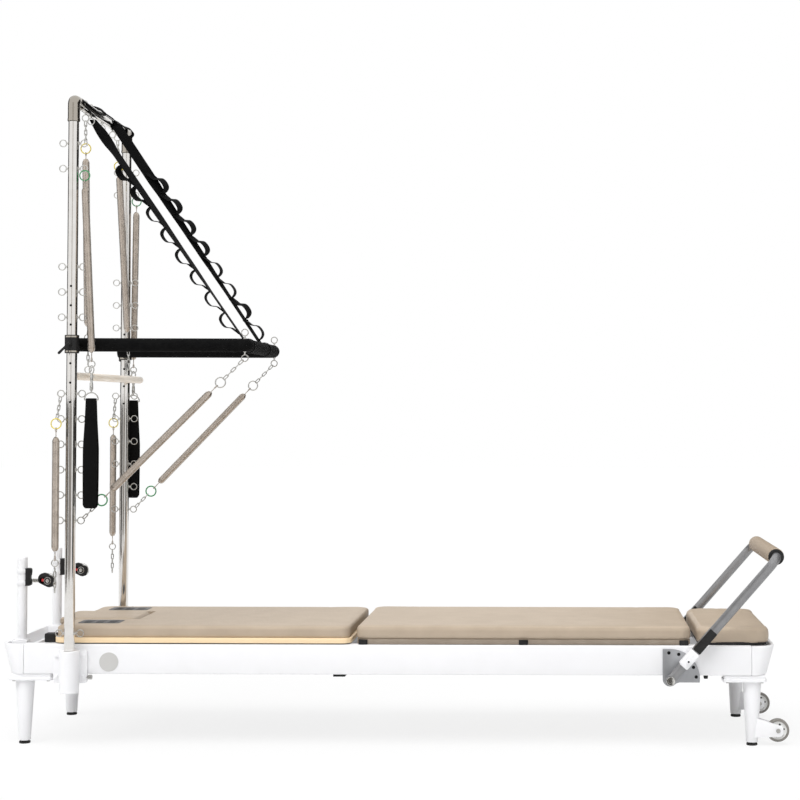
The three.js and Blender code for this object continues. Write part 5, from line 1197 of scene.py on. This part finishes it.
for sign in (-1, 1):
    eye = roll_centre + roll_way * (sign * SCREW_EYE_PLACE) + Vector((0, 0, SCREW_EYE_LIFT))
    hoop(bm, eye, roll_way, EYE_RADIUS, EYE_WIRE)
    bar(bm, eye - Vector((0, 0, 14)), eye - Vector((0, 0, 10.4)), 2.8, rim=0, sides=12)
    bar(bm, eye - Vector((0, 0, 12)), eye - Vector((0, 0, 10.8)), 6, rim=0.3, sides=20)
paint(bm, known, 1)
made_piece("roll_down_wood", bm, [PALE_WOOD.material, PLATED.material], "roll_down_bar", ["roll_down_bar"])
ROLL_EYE_Z, ROLL_TAG_Z, ROLL_COIL_FOOT_Z = 2058, 1956, 1364
for side, sign in SIDES:
    eye = Vector((TOWER_X, sign * ROLL_EYE_Y, ROLL_EYE_Z))
    bar_eye = roll_centre + roll_way * (sign * SCREW_EYE_PLACE) + Vector((0, 0, SCREW_EYE_TOP))
    down = (bar_eye - eye).normalized()
    tag = eye + down * ((eye.z - ROLL_TAG_Z) / -down.z)
    coil_top = tag + down * 33
    coil_foot = eye + down * ((eye.z - ROLL_COIL_FOOT_Z) / -down.z)
    ring_centre = coil_foot + down * 37
    bm = bmesh.new()
    hanging_spring(bm, eye, tag, coil_top, coil_foot, ring_centre, bar_eye + Vector((0, 0, 2)), (0, 2, 3))
    made_piece(
        "roll_down_coil_" + side, bm, SPRING_FINISHES, "roll_down_bar",
        ["roll_down_spring_" + side], crease=60,
    )

# Rope risers: white powder-coated tube with a cap on top, standing in sockets in the head end's casting. Each
# has a black cast bracket with slots clamped to it, which the pulley's hook catches.
RISER_X, RISER_Y = -1222, 200
CLAMP_HEIGHTS, SLOT_HEIGHTS = (515, 553), (519, 549)
for side, sign in SIDES:
    x, y = RISER_X, sign * RISER_Y
    bm = bmesh.new()
    turned(bm, [
        (0.5, 292), (16, 292), (16, 588.6), (15.6, 589), (15.6, 590), (16, 590.4), (16, 597), (14.6, 599.6),
        (0.5, 600),
    ], (x, y, 0), (0, 0, 1), steps=44)
    turned(bm, [
        (16.2, 326), (22.6, 326), (22.6, 328), (21.4, 329.4), (16.2, 329.4), (16.2, 326),
    ], (x, y, 0), (0, 0, 1))
    for z in CLAMP_HEIGHTS:
        turned(bm, [
            (16.1, z - 7.4), (17.4, z - 7.4), (18, z - 6.6), (18, z + 6.6), (17.4, z + 7.4), (16.1, z + 7.4),
            (16.1, z - 7.4),
        ], (x, y, 0), (0, 0, 1), steps=40)
    known = set(bm.faces)
    for z in CLAMP_HEIGHTS:
        rounded_plate(bm, (x + 9, y - 12.4, z - 10), (x + 29.6, y + 12.4, z + 10), 6, rim=1.4, axis=1)
    rounded_plate(bm, (x + 13, y - 12.6, 508), (x + 27, y + 12.6, 560), 4, rim=1.6, axis=0)
    for z in SLOT_HEIGHTS:
        rounded_plate(bm, (x + 29.4, y - 3.4, z - 9), (x + 31.2, y + 3.4, z + 9), 3, rim=0.5, axis=0)
    paint(bm, known, 1)
    made_piece(
        "riser_tube_" + side, bm, [WHITE_COAT, BLACK_MOULDING], "frame", ["rope_riser_" + side],
    )

# Pulleys: a black two-cheek shell on a sprung chrome neck, with a light sheave, a grey hub screw, a red washer
# ring by the neck and a bright strap over the sheave. The shell hangs tilted from its hook.
RED_RING = tag_finish("red_ring", colour(196, 44, 44))
SHEAVE = Finish("light_sheave", colour(214, 212, 206), 0.35)
SHEAVE.roughen(SHEAVE.mottle(4), 0.28, 0.45)
CHEEK_TILT = math.radians(26)
PULLEY_X, PULLEY_Z = -1137, 522
for side, sign in SIDES:
    y = sign * RISER_Y
    centre = Vector((PULLEY_X, y, PULLEY_Z))
    bm = bmesh.new()
    for cheek in (-1, 1):
        faces = sorted((y + cheek * 5.8, y + cheek * 9.2))
        before = set(bm.verts)
        rounded_plate(bm, (-33, faces[0], -19), (25, faces[1], 19), 18.6, rim=1.4, axis=1, steps=12)
        cheek_verts = [vert for vert in bm.verts if vert not in before]
        turn = Matrix.Translation((centre.x, 0, centre.z)) @ Matrix.Rotation(CHEEK_TILT, 4, "Y")
        bmesh.ops.transform(bm, matrix=turn, verts=cheek_verts)
        rounded_plate(bm, (-1164, faces[0], 512), (-1132, faces[1], 534), 8, rim=1.2, axis=1)
    block(bm, (-1166, y - 9, 514), (-1157.4, y + 9, 530), rim=2)
    known = set(bm.faces)
    bar(bm, (-1191, y, PULLEY_Z), (-1163, y, PULLEY_Z), 3.4, rim=0.6, sides=20)
    for turn_of_wire in range(6):
        hoop(bm, (-1187 + 4.2 * turn_of_wire, y, PULLEY_Z), (1, 0, 0), 5.2, 1.5, steps=20)
    for cheek in (-1, 1):
        hub_start, hub_end = ((centre.x, y + cheek * out, centre.z) for out in (8.6, 11.4))
        bar(bm, hub_start, hub_end, 6.4, rim=1.4, sides=28)
        hoop(bm, (centre.x, y + cheek * 9.6, centre.z), (0, 1, 0), 11, 1.1, steps=28)
    strip = arc(centre, (1, 0, 0), (0, 0, 1), 24.4, -0.7, 1.75, 20)
    drawn(bm, strip, 5.2, 0.5, sides=12, across=(0, 1, 0), square=0.35)
    paint(bm, known, 1)
    known = set(bm.faces)
    for cheek in (-1, 1):
        bar(bm, (-1152, y + cheek * 8.8, 524), (-1152, y + cheek * 10.6, 524), 4.6, rim=0.8, sides=20)
    paint(bm, known, 2)
    made_piece(
        "pulley_shell_" + side, bm, [BLACK_MOULDING, PLATED.material, RED_RING], "pulley_block_" + side,
        ["pulley_block_" + side],
    )
    bm = bmesh.new()
    turned(bm, [
        (4.5, -4.5), (18, -4.5), (19, -3.8), (17.6, -2.6), (14.6, 0), (17.6, 2.6), (19, 3.8), (18, 4.5), (4.5, 4.5),
        (4.5, -4.5),
    ], centre, (0, 1, 0), steps=44)
    made_piece(
        "sheave_" + side, bm, SHEAVE.material, "pulley_sheave_" + side, ["pulley_sheave_" + side],
    )

# Carriage deck: clear-coated birch plywood with rounded corners on a thin black layer a little inset under it,
# with black runners on the rails' ledges and two black rubber bumpers at its head end.
BIRCH = Finish("birch_ply", colour(248, 222, 182), 0.42, Coat_Weight=0.2, Coat_Roughness=0.3)
plies = BIRCH.stripes(2.6, "Z")
BIRCH.tones(BIRCH.level(plies, 0, 1, 0.2, 0.8), colour(252, 228, 190), colour(240, 210, 166))
BIRCH.relief(BIRCH.mottle(3, detail=5, stretch=(0.06, 1, 1)), 0.08, 0.3)
RUNNER_X, RUNNER_HALF, RUNNER_INSIDE, RUNNER_OUTSIDE = (-960, -250), 44.8, 248.6, 264.2
BUMPER_Y = 252
bm = bmesh.new()
rounded_plate(bm, (-1089.6, -301.6, 329.6), (-120.4, 301.6, 346), 34, rim=1.2)
known = set(bm.faces)
# A thin black layer under the board, a little inset from its edge.
rounded_plate(bm, (-1088, -300.4, 327.4), (-122, 300.4, 330), 33, rim=0.5)
for x in RUNNER_X:
    for sign in (-1, 1):
        faces = sorted((sign * RUNNER_INSIDE, sign * RUNNER_OUTSIDE))
        block(bm, (x - RUNNER_HALF, faces[0], 288.6), (x + RUNNER_HALF, faces[1], 331), rim=2)
for y in (-BUMPER_Y, BUMPER_Y):
    rounded_plate(bm, (-1125.8, y - 21.8, 327.2), (-1092.4, y + 21.8, 355.8), 6, rim=2, axis=0)
    block(bm, (-1122, y - 20, 327.2), (-1056.4, y + 20, 332), rim=1)
paint(bm, known, 1)
made_piece("carriage_board", bm, [BIRCH.material, BLACK_MOULDING], "carriage", ["carriage_deck"])

# Carriage pad: firm foam on the deck under sand-coloured vinyl, drawn down over a rolled edge, with a recess
# cut for the headrest. Two dark slot plates for the shoulder rests are set in its top, their slots drawn as
# black patches, painted shade.
VINYL = Finish("sand_vinyl", colour(181, 165, 146), 0.48, Specular_IOR_Level=0.35)
VINYL.tones(VINYL.level(VINYL.mottle(70), 0, 1), colour(183, 167, 148), colour(176, 160, 141))
VINYL.roughen(VINYL.mottle(4), 0.42, 0.58)
creased = VINYL.relief(VINYL.mottle(45, detail=2, stretch=(0.5, 1, 1)), 1.6, 0.25)
VINYL.relief(VINYL.cells(1.5), 0.12, 0.5, after=creased)


def stuffed(low, high, corner, edge=9, cap=4.0, voxel=6, seam=None, ease=3.0):
    """A foam pad in its cover: pushed out by its filling, but by no more than the cap, in millimetres. The cover
    starts smaller by the ease. Its underside is cut flat, where it rests on its board."""
    pressure = 4
    low, high = Vector(low), Vector(high)
    bm = bmesh.new()
    small = Vector((ease, ease, 0))
    cut_size = high - low - 2 * small - Vector((0, 0, ease))
    place = Matrix.Translation((low + high) / 2) @ Matrix.Diagonal((*cut_size, 1))
    place.translation.z -= ease / 2
    verts = bmesh.ops.create_cube(bm, size=1, matrix=place)["verts"]
    posts = [e for v in verts for e in v.link_edges if abs((e.verts[1].co - e.verts[0].co).normalized().z) > 0.9]
    bmesh.ops.bevel(
        bm, geom=list(set(posts)), offset=corner, offset_type="OFFSET", segments=10, profile=0.5,
        affect="EDGES", material=-1,
    )
    top = [f for f in bm.faces if f.calc_center_median().z > place.translation.z and f.normal.z > 0.9]
    bmesh.ops.bevel(
        bm, geom=list({e for f in top for e in f.edges}), offset=edge, offset_type="OFFSET", segments=5,
        profile=0.5, affect="EDGES", material=-1,
    )
    bm.transform(Matrix.Scale(MM, 4))
    mesh = bpy.data.meshes.new("cover")
    bm.to_mesh(mesh)
    bm.free()
    cover = bpy.data.objects.new("cover", mesh)
    bpy.context.scene.collection.objects.link(cover)

    def settled(until=1):
        """The cover takes the shape that its modifiers give it at this frame."""
        for step in range(1, until + 1):
            bpy.context.scene.frame_set(step)
        graph = bpy.context.evaluated_depsgraph_get()
        cover.data = bpy.data.meshes.new_from_object(cover.evaluated_get(graph))
        cover.modifiers.clear()

    remesh = cover.modifiers.new("voxels", "REMESH")
    remesh.mode = "VOXEL"
    remesh.voxel_size = voxel * MM
    settled()
    rest = [vert.co.copy() for vert in cover.data.vertices]
    cloth = cover.modifiers.new("filling", "CLOTH")
    cloth.settings.use_pressure = True
    cloth.settings.uniform_pressure_force = pressure
    cloth.settings.effector_weights.gravity = 0
    settled(20)
    bpy.context.scene.frame_set(1)
    for vert, start in zip(cover.data.vertices, rest):
        move = vert.co - start
        if move.length > cap * MM:
            move *= cap * MM / move.length
        vert.co = start + move
    finer = cover.modifiers.new("finer", "SUBSURF")
    finer.levels = finer.render_levels = 1
    settled()
    bm = bmesh.new()
    bm.from_mesh(cover.data)
    bpy.data.objects.remove(cover)
    bm.transform(Matrix.Scale(1 / MM, 4))
    cut = bmesh.ops.bisect_plane(
        bm, geom=bm.verts[:] + bm.edges[:] + bm.faces[:], plane_co=(0, 0, low.z + 1.2), plane_no=(0, 0, -1),
        clear_outer=True,
    )["geom_cut"]
    for vert in bm.verts:
        vert.co.z = min(vert.co.z, high.z)
    for vert in (item for item in cut if isinstance(item, bmesh.types.BMVert)):
        vert.co.z = low.z
    bmesh.ops.holes_fill(bm, edges=[e for e in bm.edges if len(e.link_faces) == 1], sides=0)
    if seam is not None:
        middle = (low + high) / 2
        for vert in bm.verts:
            near = 1 - abs(vert.co.z - seam) / 2.6
            if near > 0:
                outwards = Vector((vert.co.x - middle.x, vert.co.y - middle.y, 0))
                rim_x = abs(outwards.x) / (high.x - middle.x)
                rim_y = abs(outwards.y) / (high.y - middle.y)
                pull = Vector((math.copysign(rim_x ** 24, outwards.x), math.copysign(rim_y ** 24, outwards.y), 0))
                vert.co -= pull * (1.1 * near)
    return bm


PAD_TOP, RECESS_FLOOR = 386, 365.4
bm = stuffed((-1090, -302, 346.2), (-120, 302, PAD_TOP), 34, edge=6, seam=379)
recess_walls = [((0, y, 0), (0, 1, 0)) for y in (115.2, 116.2, -115.2, -116.2)]
recess_walls += [((x, 0, 0), (1, 0, 0)) for x in (-853, -852)]
for point, face in recess_walls:
    whole = bm.verts[:] + bm.edges[:] + bm.faces[:]
    bmesh.ops.bisect_plane(bm, geom=whole, plane_co=point, plane_no=face, dist=0.01)
for vert in bm.verts:
    if abs(vert.co.y) < 115.5 and vert.co.x < -852.7 and vert.co.z > RECESS_FLOOR:
        vert.co.z = RECESS_FLOOR
pad = made_piece("carriage_cushion", bm, VINYL.material, "carriage", ["carriage_pad"], crease=60)
SLOT_GREY = moulded_black("slot_plate_grey", tone=88, roughness=0.5)
bm = bmesh.new()
for sign in (-1, 1):
    low_y, high_y = sorted((sign * 148, sign * 241))
    rounded_plate(bm, (-1029, low_y, PAD_TOP - 1.2), (-892, high_y, PAD_TOP + 0.7), 12, rim=0.5)
    known = set(bm.faces)
    # Painted shade: black patches for the slots' openings.
    for x in (-1000, -960.5, -921):
        rounded_plate(bm, (x - 13, low_y + 14, PAD_TOP + 0.4), (x + 13, high_y - 14, PAD_TOP + 0.95), 6, rim=0.2)
    paint(bm, known, 1)
made_piece("slot_plates", bm, [SLOT_GREY, BLACK_MOULDING], "carriage")

# Headrest: a hinged board under thinner foam and the same vinyl, lying in the pad's recess. Its foot-side edge is
# cut to a slope, so that it shades darker there.
HEAD_LOW, HEAD_HIGH = (-1130, -113, 366), (-855, 113, 389.4)
bm = stuffed(HEAD_LOW, HEAD_HIGH, 16, edge=5, cap=2.5, ease=2.0, voxel=5)
for vert in bm.verts:
    reach = (vert.co.x + 1130) / 275
    if reach > 0.5:
        height = (vert.co.z - 366) / 24
        vert.co.x -= 18 * height * smooth_share((reach - 0.5) / 0.42)
head_pad = made_piece("headrest_cushion", bm, VINYL.material, "headrest", ["headrest"], crease=60)

# Mat: the same vinyl over foam on a board wrapped in vinyl painted a duller brown, as painted shade under the
# cushion's overhang. The board stands on the rails by six black moulded feet.
# Painted shade: the board's vinyl is darker than the cover's, standing for the shade under the cushion's overhang.
PAINTED_SHADE_VINYL = Finish("vinyl_with_painted_shade", colour(150, 138, 124), 0.6, Specular_IOR_Level=0.3)
PAINTED_SHADE_VINYL.tones(PAINTED_SHADE_VINYL.level(PAINTED_SHADE_VINYL.mottle(40), 0, 1), colour(152, 140, 126), colour(140, 128, 114))
PAINTED_SHADE_VINYL.relief(PAINTED_SHADE_VINYL.cells(1.5), 0.12, 0.5)
MAT_FOOT_X, MAT_FOOT_Y = (-82, 440.5, 963), (-287.5, 287.5)
bm = bmesh.new()
rounded_plate(bm, (-104, -296, 327.4), (985, 296, 343.4), 34, rim=1.6)
known = set(bm.faces)
for x in MAT_FOOT_X:
    for y in MAT_FOOT_Y:
        rounded_plate(bm, (x - 14.8, y - 14.4, 326.4), (x + 14.8, y + 14.4, 342.6), 4, rim=1.4)
        bar(bm, (x, y, 326.35), (x, y, 327.4), 11, rim=0.4, sides=24)
paint(bm, known, 1)
made_piece("mat_board", bm, [PAINTED_SHADE_VINYL.material, BLACK_MOULDING], "mat", ["mat_base"])
bm = stuffed((-112, -302, 343), (993, 302, 388), 34, edge=9, cap=4.5, seam=378)
mat_pad = made_piece("mat_pad", bm, VINYL.material, "mat", ["mat_cushion"], crease=60)

# Foot cushion: a short cushion of the same foam and vinyl over the foot end, on a black board. Its cover is
# gathered at the rounded corners, and it lifts off.
bm = stuffed((997, -302, 334), (1254, 302, 384), 60, edge=14, cap=7, ease=4, seam=370, voxel=5)
end_pad = made_piece("foot_pad_cushion", bm, VINYL.material, "foot_cushion", ["foot_cushion"], crease=60)
bm = bmesh.new()
rounded_plate(bm, (1010, -288, 326.4), (1238, 288, 336.4), 48, rim=1.4)
made_piece("foot_cushion_board", bm, BLACK_MOULDING, "foot_cushion")

# Foot bar: satin grey aluminium tube bent to a U, turning on a stud at each rail. A black grip panel and a white
# moulded lock housing sit on each arm, and a sand-coloured foam grip between black rings on the cross tube.
SATIN_GREY = Finish("satin_grey_tube", colour(146, 146, 147), 0.36, metallic=0.6)
SATIN_GREY.tones(SATIN_GREY.level(SATIN_GREY.mottle(30), 0, 1), colour(148, 148, 149), colour(137, 137, 139))
SATIN_GREY.roughen(SATIN_GREY.mottle(2.2), 0.32, 0.44)
PIVOT_X, PIVOT_Z, ARM_ANGLE, ARM_LENGTH = 917, 219.5, math.radians(48.8), 525
ARM_WAY = Vector((math.cos(ARM_ANGLE), 0, math.sin(ARM_ANGLE)))


def on_arm(distance, y):
    """A place on the bar's arm: along it from the pivot, and across the bed."""
    return Vector((PIVOT_X, y, PIVOT_Z)) + ARM_WAY * distance


TUBE_RADIUS, HOUSING_REACH, PANEL_REACH, PIN_REACH = 15.4, 87, 167, 85
bend = 44
route = [on_arm(s, -TOWER_Y) for s in (-2, 60, 160, 280, 400, 450)]
route += arc(on_arm(ARM_LENGTH - bend, -TOWER_Y + bend), (0, -1, 0), ARM_WAY, bend, 0, math.pi / 2, 12)
route += [on_arm(ARM_LENGTH, y) for y in (-240, -120, 0, 120, 240)]
route += arc(on_arm(ARM_LENGTH - bend, TOWER_Y - bend), ARM_WAY, (0, 1, 0), bend, 0, math.pi / 2, 12)
route += [on_arm(s, TOWER_Y) for s in (450, 400, 280, 160, 60, -2)]
bm = bmesh.new()
drawn(bm, route, TUBE_RADIUS, sides=36)
for side, sign in SIDES:
    y = sign * TOWER_Y
    bar(bm, (PIVOT_X, y - TUBE_RADIUS, PIVOT_Z), (PIVOT_X, y + TUBE_RADIUS, PIVOT_Z), 15.6, rim=1.4, sides=44)
    known = set(bm.faces)
    faces = sorted((sign * 318, sign * 362.6))
    before = set(bm.verts)
    rounded_plate(bm, (-27, faces[0], -16.2), (35, faces[1], 16.2), 5, rim=2.2, axis=1)
    rounded_plate(bm, (14, sign * 362 - 0.9, -3), (28, sign * 362 + 0.9, 3), 2.6, rim=0.6, axis=1)
    held = [vert for vert in bm.verts if vert not in before]
    turn = Matrix.Rotation(-ARM_ANGLE, 4, "Y")
    bmesh.ops.transform(bm, matrix=Matrix.Translation(on_arm(HOUSING_REACH, 0)) @ turn, verts=held)
    paint(bm, known, 1)
    known = set(bm.faces)
    before = set(bm.verts)
    rounded_plate(bm, (-42, y - 17, -14.2), (44, y + 17, 14.2), 3, rim=1.2, axis=1)
    held = [vert for vert in bm.verts if vert not in before]
    bmesh.ops.transform(bm, matrix=Matrix.Translation(on_arm(PANEL_REACH, 0)) @ turn, verts=held)
    paint(bm, known, 2)
made_piece(
    "foot_bar_tube", bm, [SATIN_GREY.material, WHITE_COAT, BLACK_MOULDING], "foot_bar", ["foot_bar"],
)
GRIP = Finish("sand_foam_grip", colour(166, 150, 131), 0.6)
GRIP.tones(GRIP.level(GRIP.mottle(12), 0, 1), colour(168, 152, 133), colour(156, 140, 121))
GRIP.relief(GRIP.cells(1.6), 0.2, 0.6)
bm = bmesh.new()
turned(bm, [
    (16, -292), (25.6, -292), (27, -290), (27.6, -286), (27.6, 286), (27, 290), (25.6, 292), (16, 292), (16, -292),
], on_arm(ARM_LENGTH, 0), (0, 1, 0), steps=48)
known = set(bm.faces)
for low in (-303.6, 292.2):
    turned(bm, [
        (16, low), (24.4, low), (25.6, low + 1.2), (25.6, low + 10.2), (24.4, low + 11.4), (16, low + 11.4),
        (16, low),
    ], on_arm(ARM_LENGTH, 0), (0, 1, 0), steps=48)
paint(bm, known, 1)
grip = made_piece(
    "foot_bar_foam", bm, [GRIP.material, BLACK_MOULDING], "foot_bar", ["foot_bar_grip"],
)

# Foot-bar quadrants: satin grey plates bolted to the rails, drilled round an arc for the lock pins, with the
# pivot stud and its round cap. The holes are drawn as near-black discs, painted shade. A plated lock pin with a
# white knob runs through each housing; the knob's dark centre is painted shade too.
PLATE_GREY = Finish("satin_grey_plate", colour(166, 167, 170), 0.4, metallic=0.4)
PLATE_GREY.tones(PLATE_GREY.level(PLATE_GREY.mottle(30), 0, 1), colour(168, 169, 172), colour(158, 159, 162))
PLATE_GREY.roughen(PLATE_GREY.mottle(2.2), 0.36, 0.48)
HOLE_STEP, PIN_HOLE_SIZE = 22, 5.6
for side, sign in SIDES:
    bm = bmesh.new()
    outline = arc((PIVOT_X, 0, PIVOT_Z), (1, 0, 0), (0, 0, 1), 24, math.radians(186), math.radians(322), 14)
    outline.append(Vector((PIVOT_X + 30, 0, PIVOT_Z - 11)))
    outline.append(Vector((PIVOT_X + 96.4, 0, PIVOT_Z - 11)))
    outline += arc((PIVOT_X, 0, PIVOT_Z), (1, 0, 0), (0, 0, 1), 97, 0, math.pi / 2, 28)
    outline += [Vector((PIVOT_X - 24, 0, PIVOT_Z + 97))]
    for point in outline:
        point.y = sign * 310.4
    face = bm.faces.new([bm.verts.new(point) for point in outline])
    raised = bmesh.ops.extrude_face_region(bm, geom=[face])["geom"]
    bmesh.ops.translate(bm, vec=(0, sign * 5.8, 0), verts=[v for v in raised if isinstance(v, bmesh.types.BMVert)])
    rims = [e for e in bm.edges if abs((e.verts[0].co - e.verts[1].co).y) < 0.01]
    bmesh.ops.bevel(
        bm, geom=rims, offset=0.9, offset_type="OFFSET", segments=2, profile=0.5, affect="EDGES", material=-1,
    )
    known = set(bm.faces)
    bar(bm, (PIVOT_X, sign * 313, PIVOT_Z), (PIVOT_X, sign * 362.6, PIVOT_Z), 7.8, rim=0, sides=32)
    turned(bm, [
        (0.2, 360.8), (14, 360.8), (14, 363.4), (12.6, 364.8), (8.4, 364.8), (7.6, 363.4), (0.2, 363.4),
    ], (PIVOT_X, 0, PIVOT_Z), (0, sign, 0), steps=44)
    paint(bm, known, 1)
    known = set(bm.faces)
    # Painted shade: near-black discs stand for the lock-pin holes.
    for step in (-2, -1, 1, 2):
        angle = ARM_ANGLE + math.radians(HOLE_STEP * step)
        x, z = PIVOT_X + PIN_REACH * math.cos(angle), PIVOT_Z + PIN_REACH * math.sin(angle)
        bar(bm, (x, sign * 314, z), (x, sign * 316.5, z), PIN_HOLE_SIZE, rim=0.2, sides=28)
    paint(bm, known, 2)
    made_piece(
        "quadrant_plate_" + side, bm, [PLATE_GREY.material, PLATED.material, PAINTED_HOLE_SHADE], "frame",
        ["foot_bar_quadrant_" + side],
    )
    bm = bmesh.new()
    x, z = on_arm(PIN_REACH, 0).x, on_arm(PIN_REACH, 0).z
    bar(bm, (x, sign * 316.7, z), (x, sign * 371, z), 4.5, rim=0.6, sides=24)
    known = set(bm.faces)
    bar(bm, (x, sign * 368.4, z), (x, sign * 377.2, z), 8.6, rim=2, sides=28)
    paint(bm, known, 1)
    known = set(bm.faces)
    # Painted shade: a near-black disc in the knob's end.
    bar(bm, (x, sign * 376, z), (x, sign * 377.6, z), 3.4, rim=0.3, sides=20)
    paint(bm, known, 2)
    made_piece(
        "housing_pin_" + side, bm, [PLATED.material, WHITE_COAT, PAINTED_HOLE_SHADE], "foot_bar_lock_pin_" + side,
        ["foot_bar_lock_pin_" + side],
    )
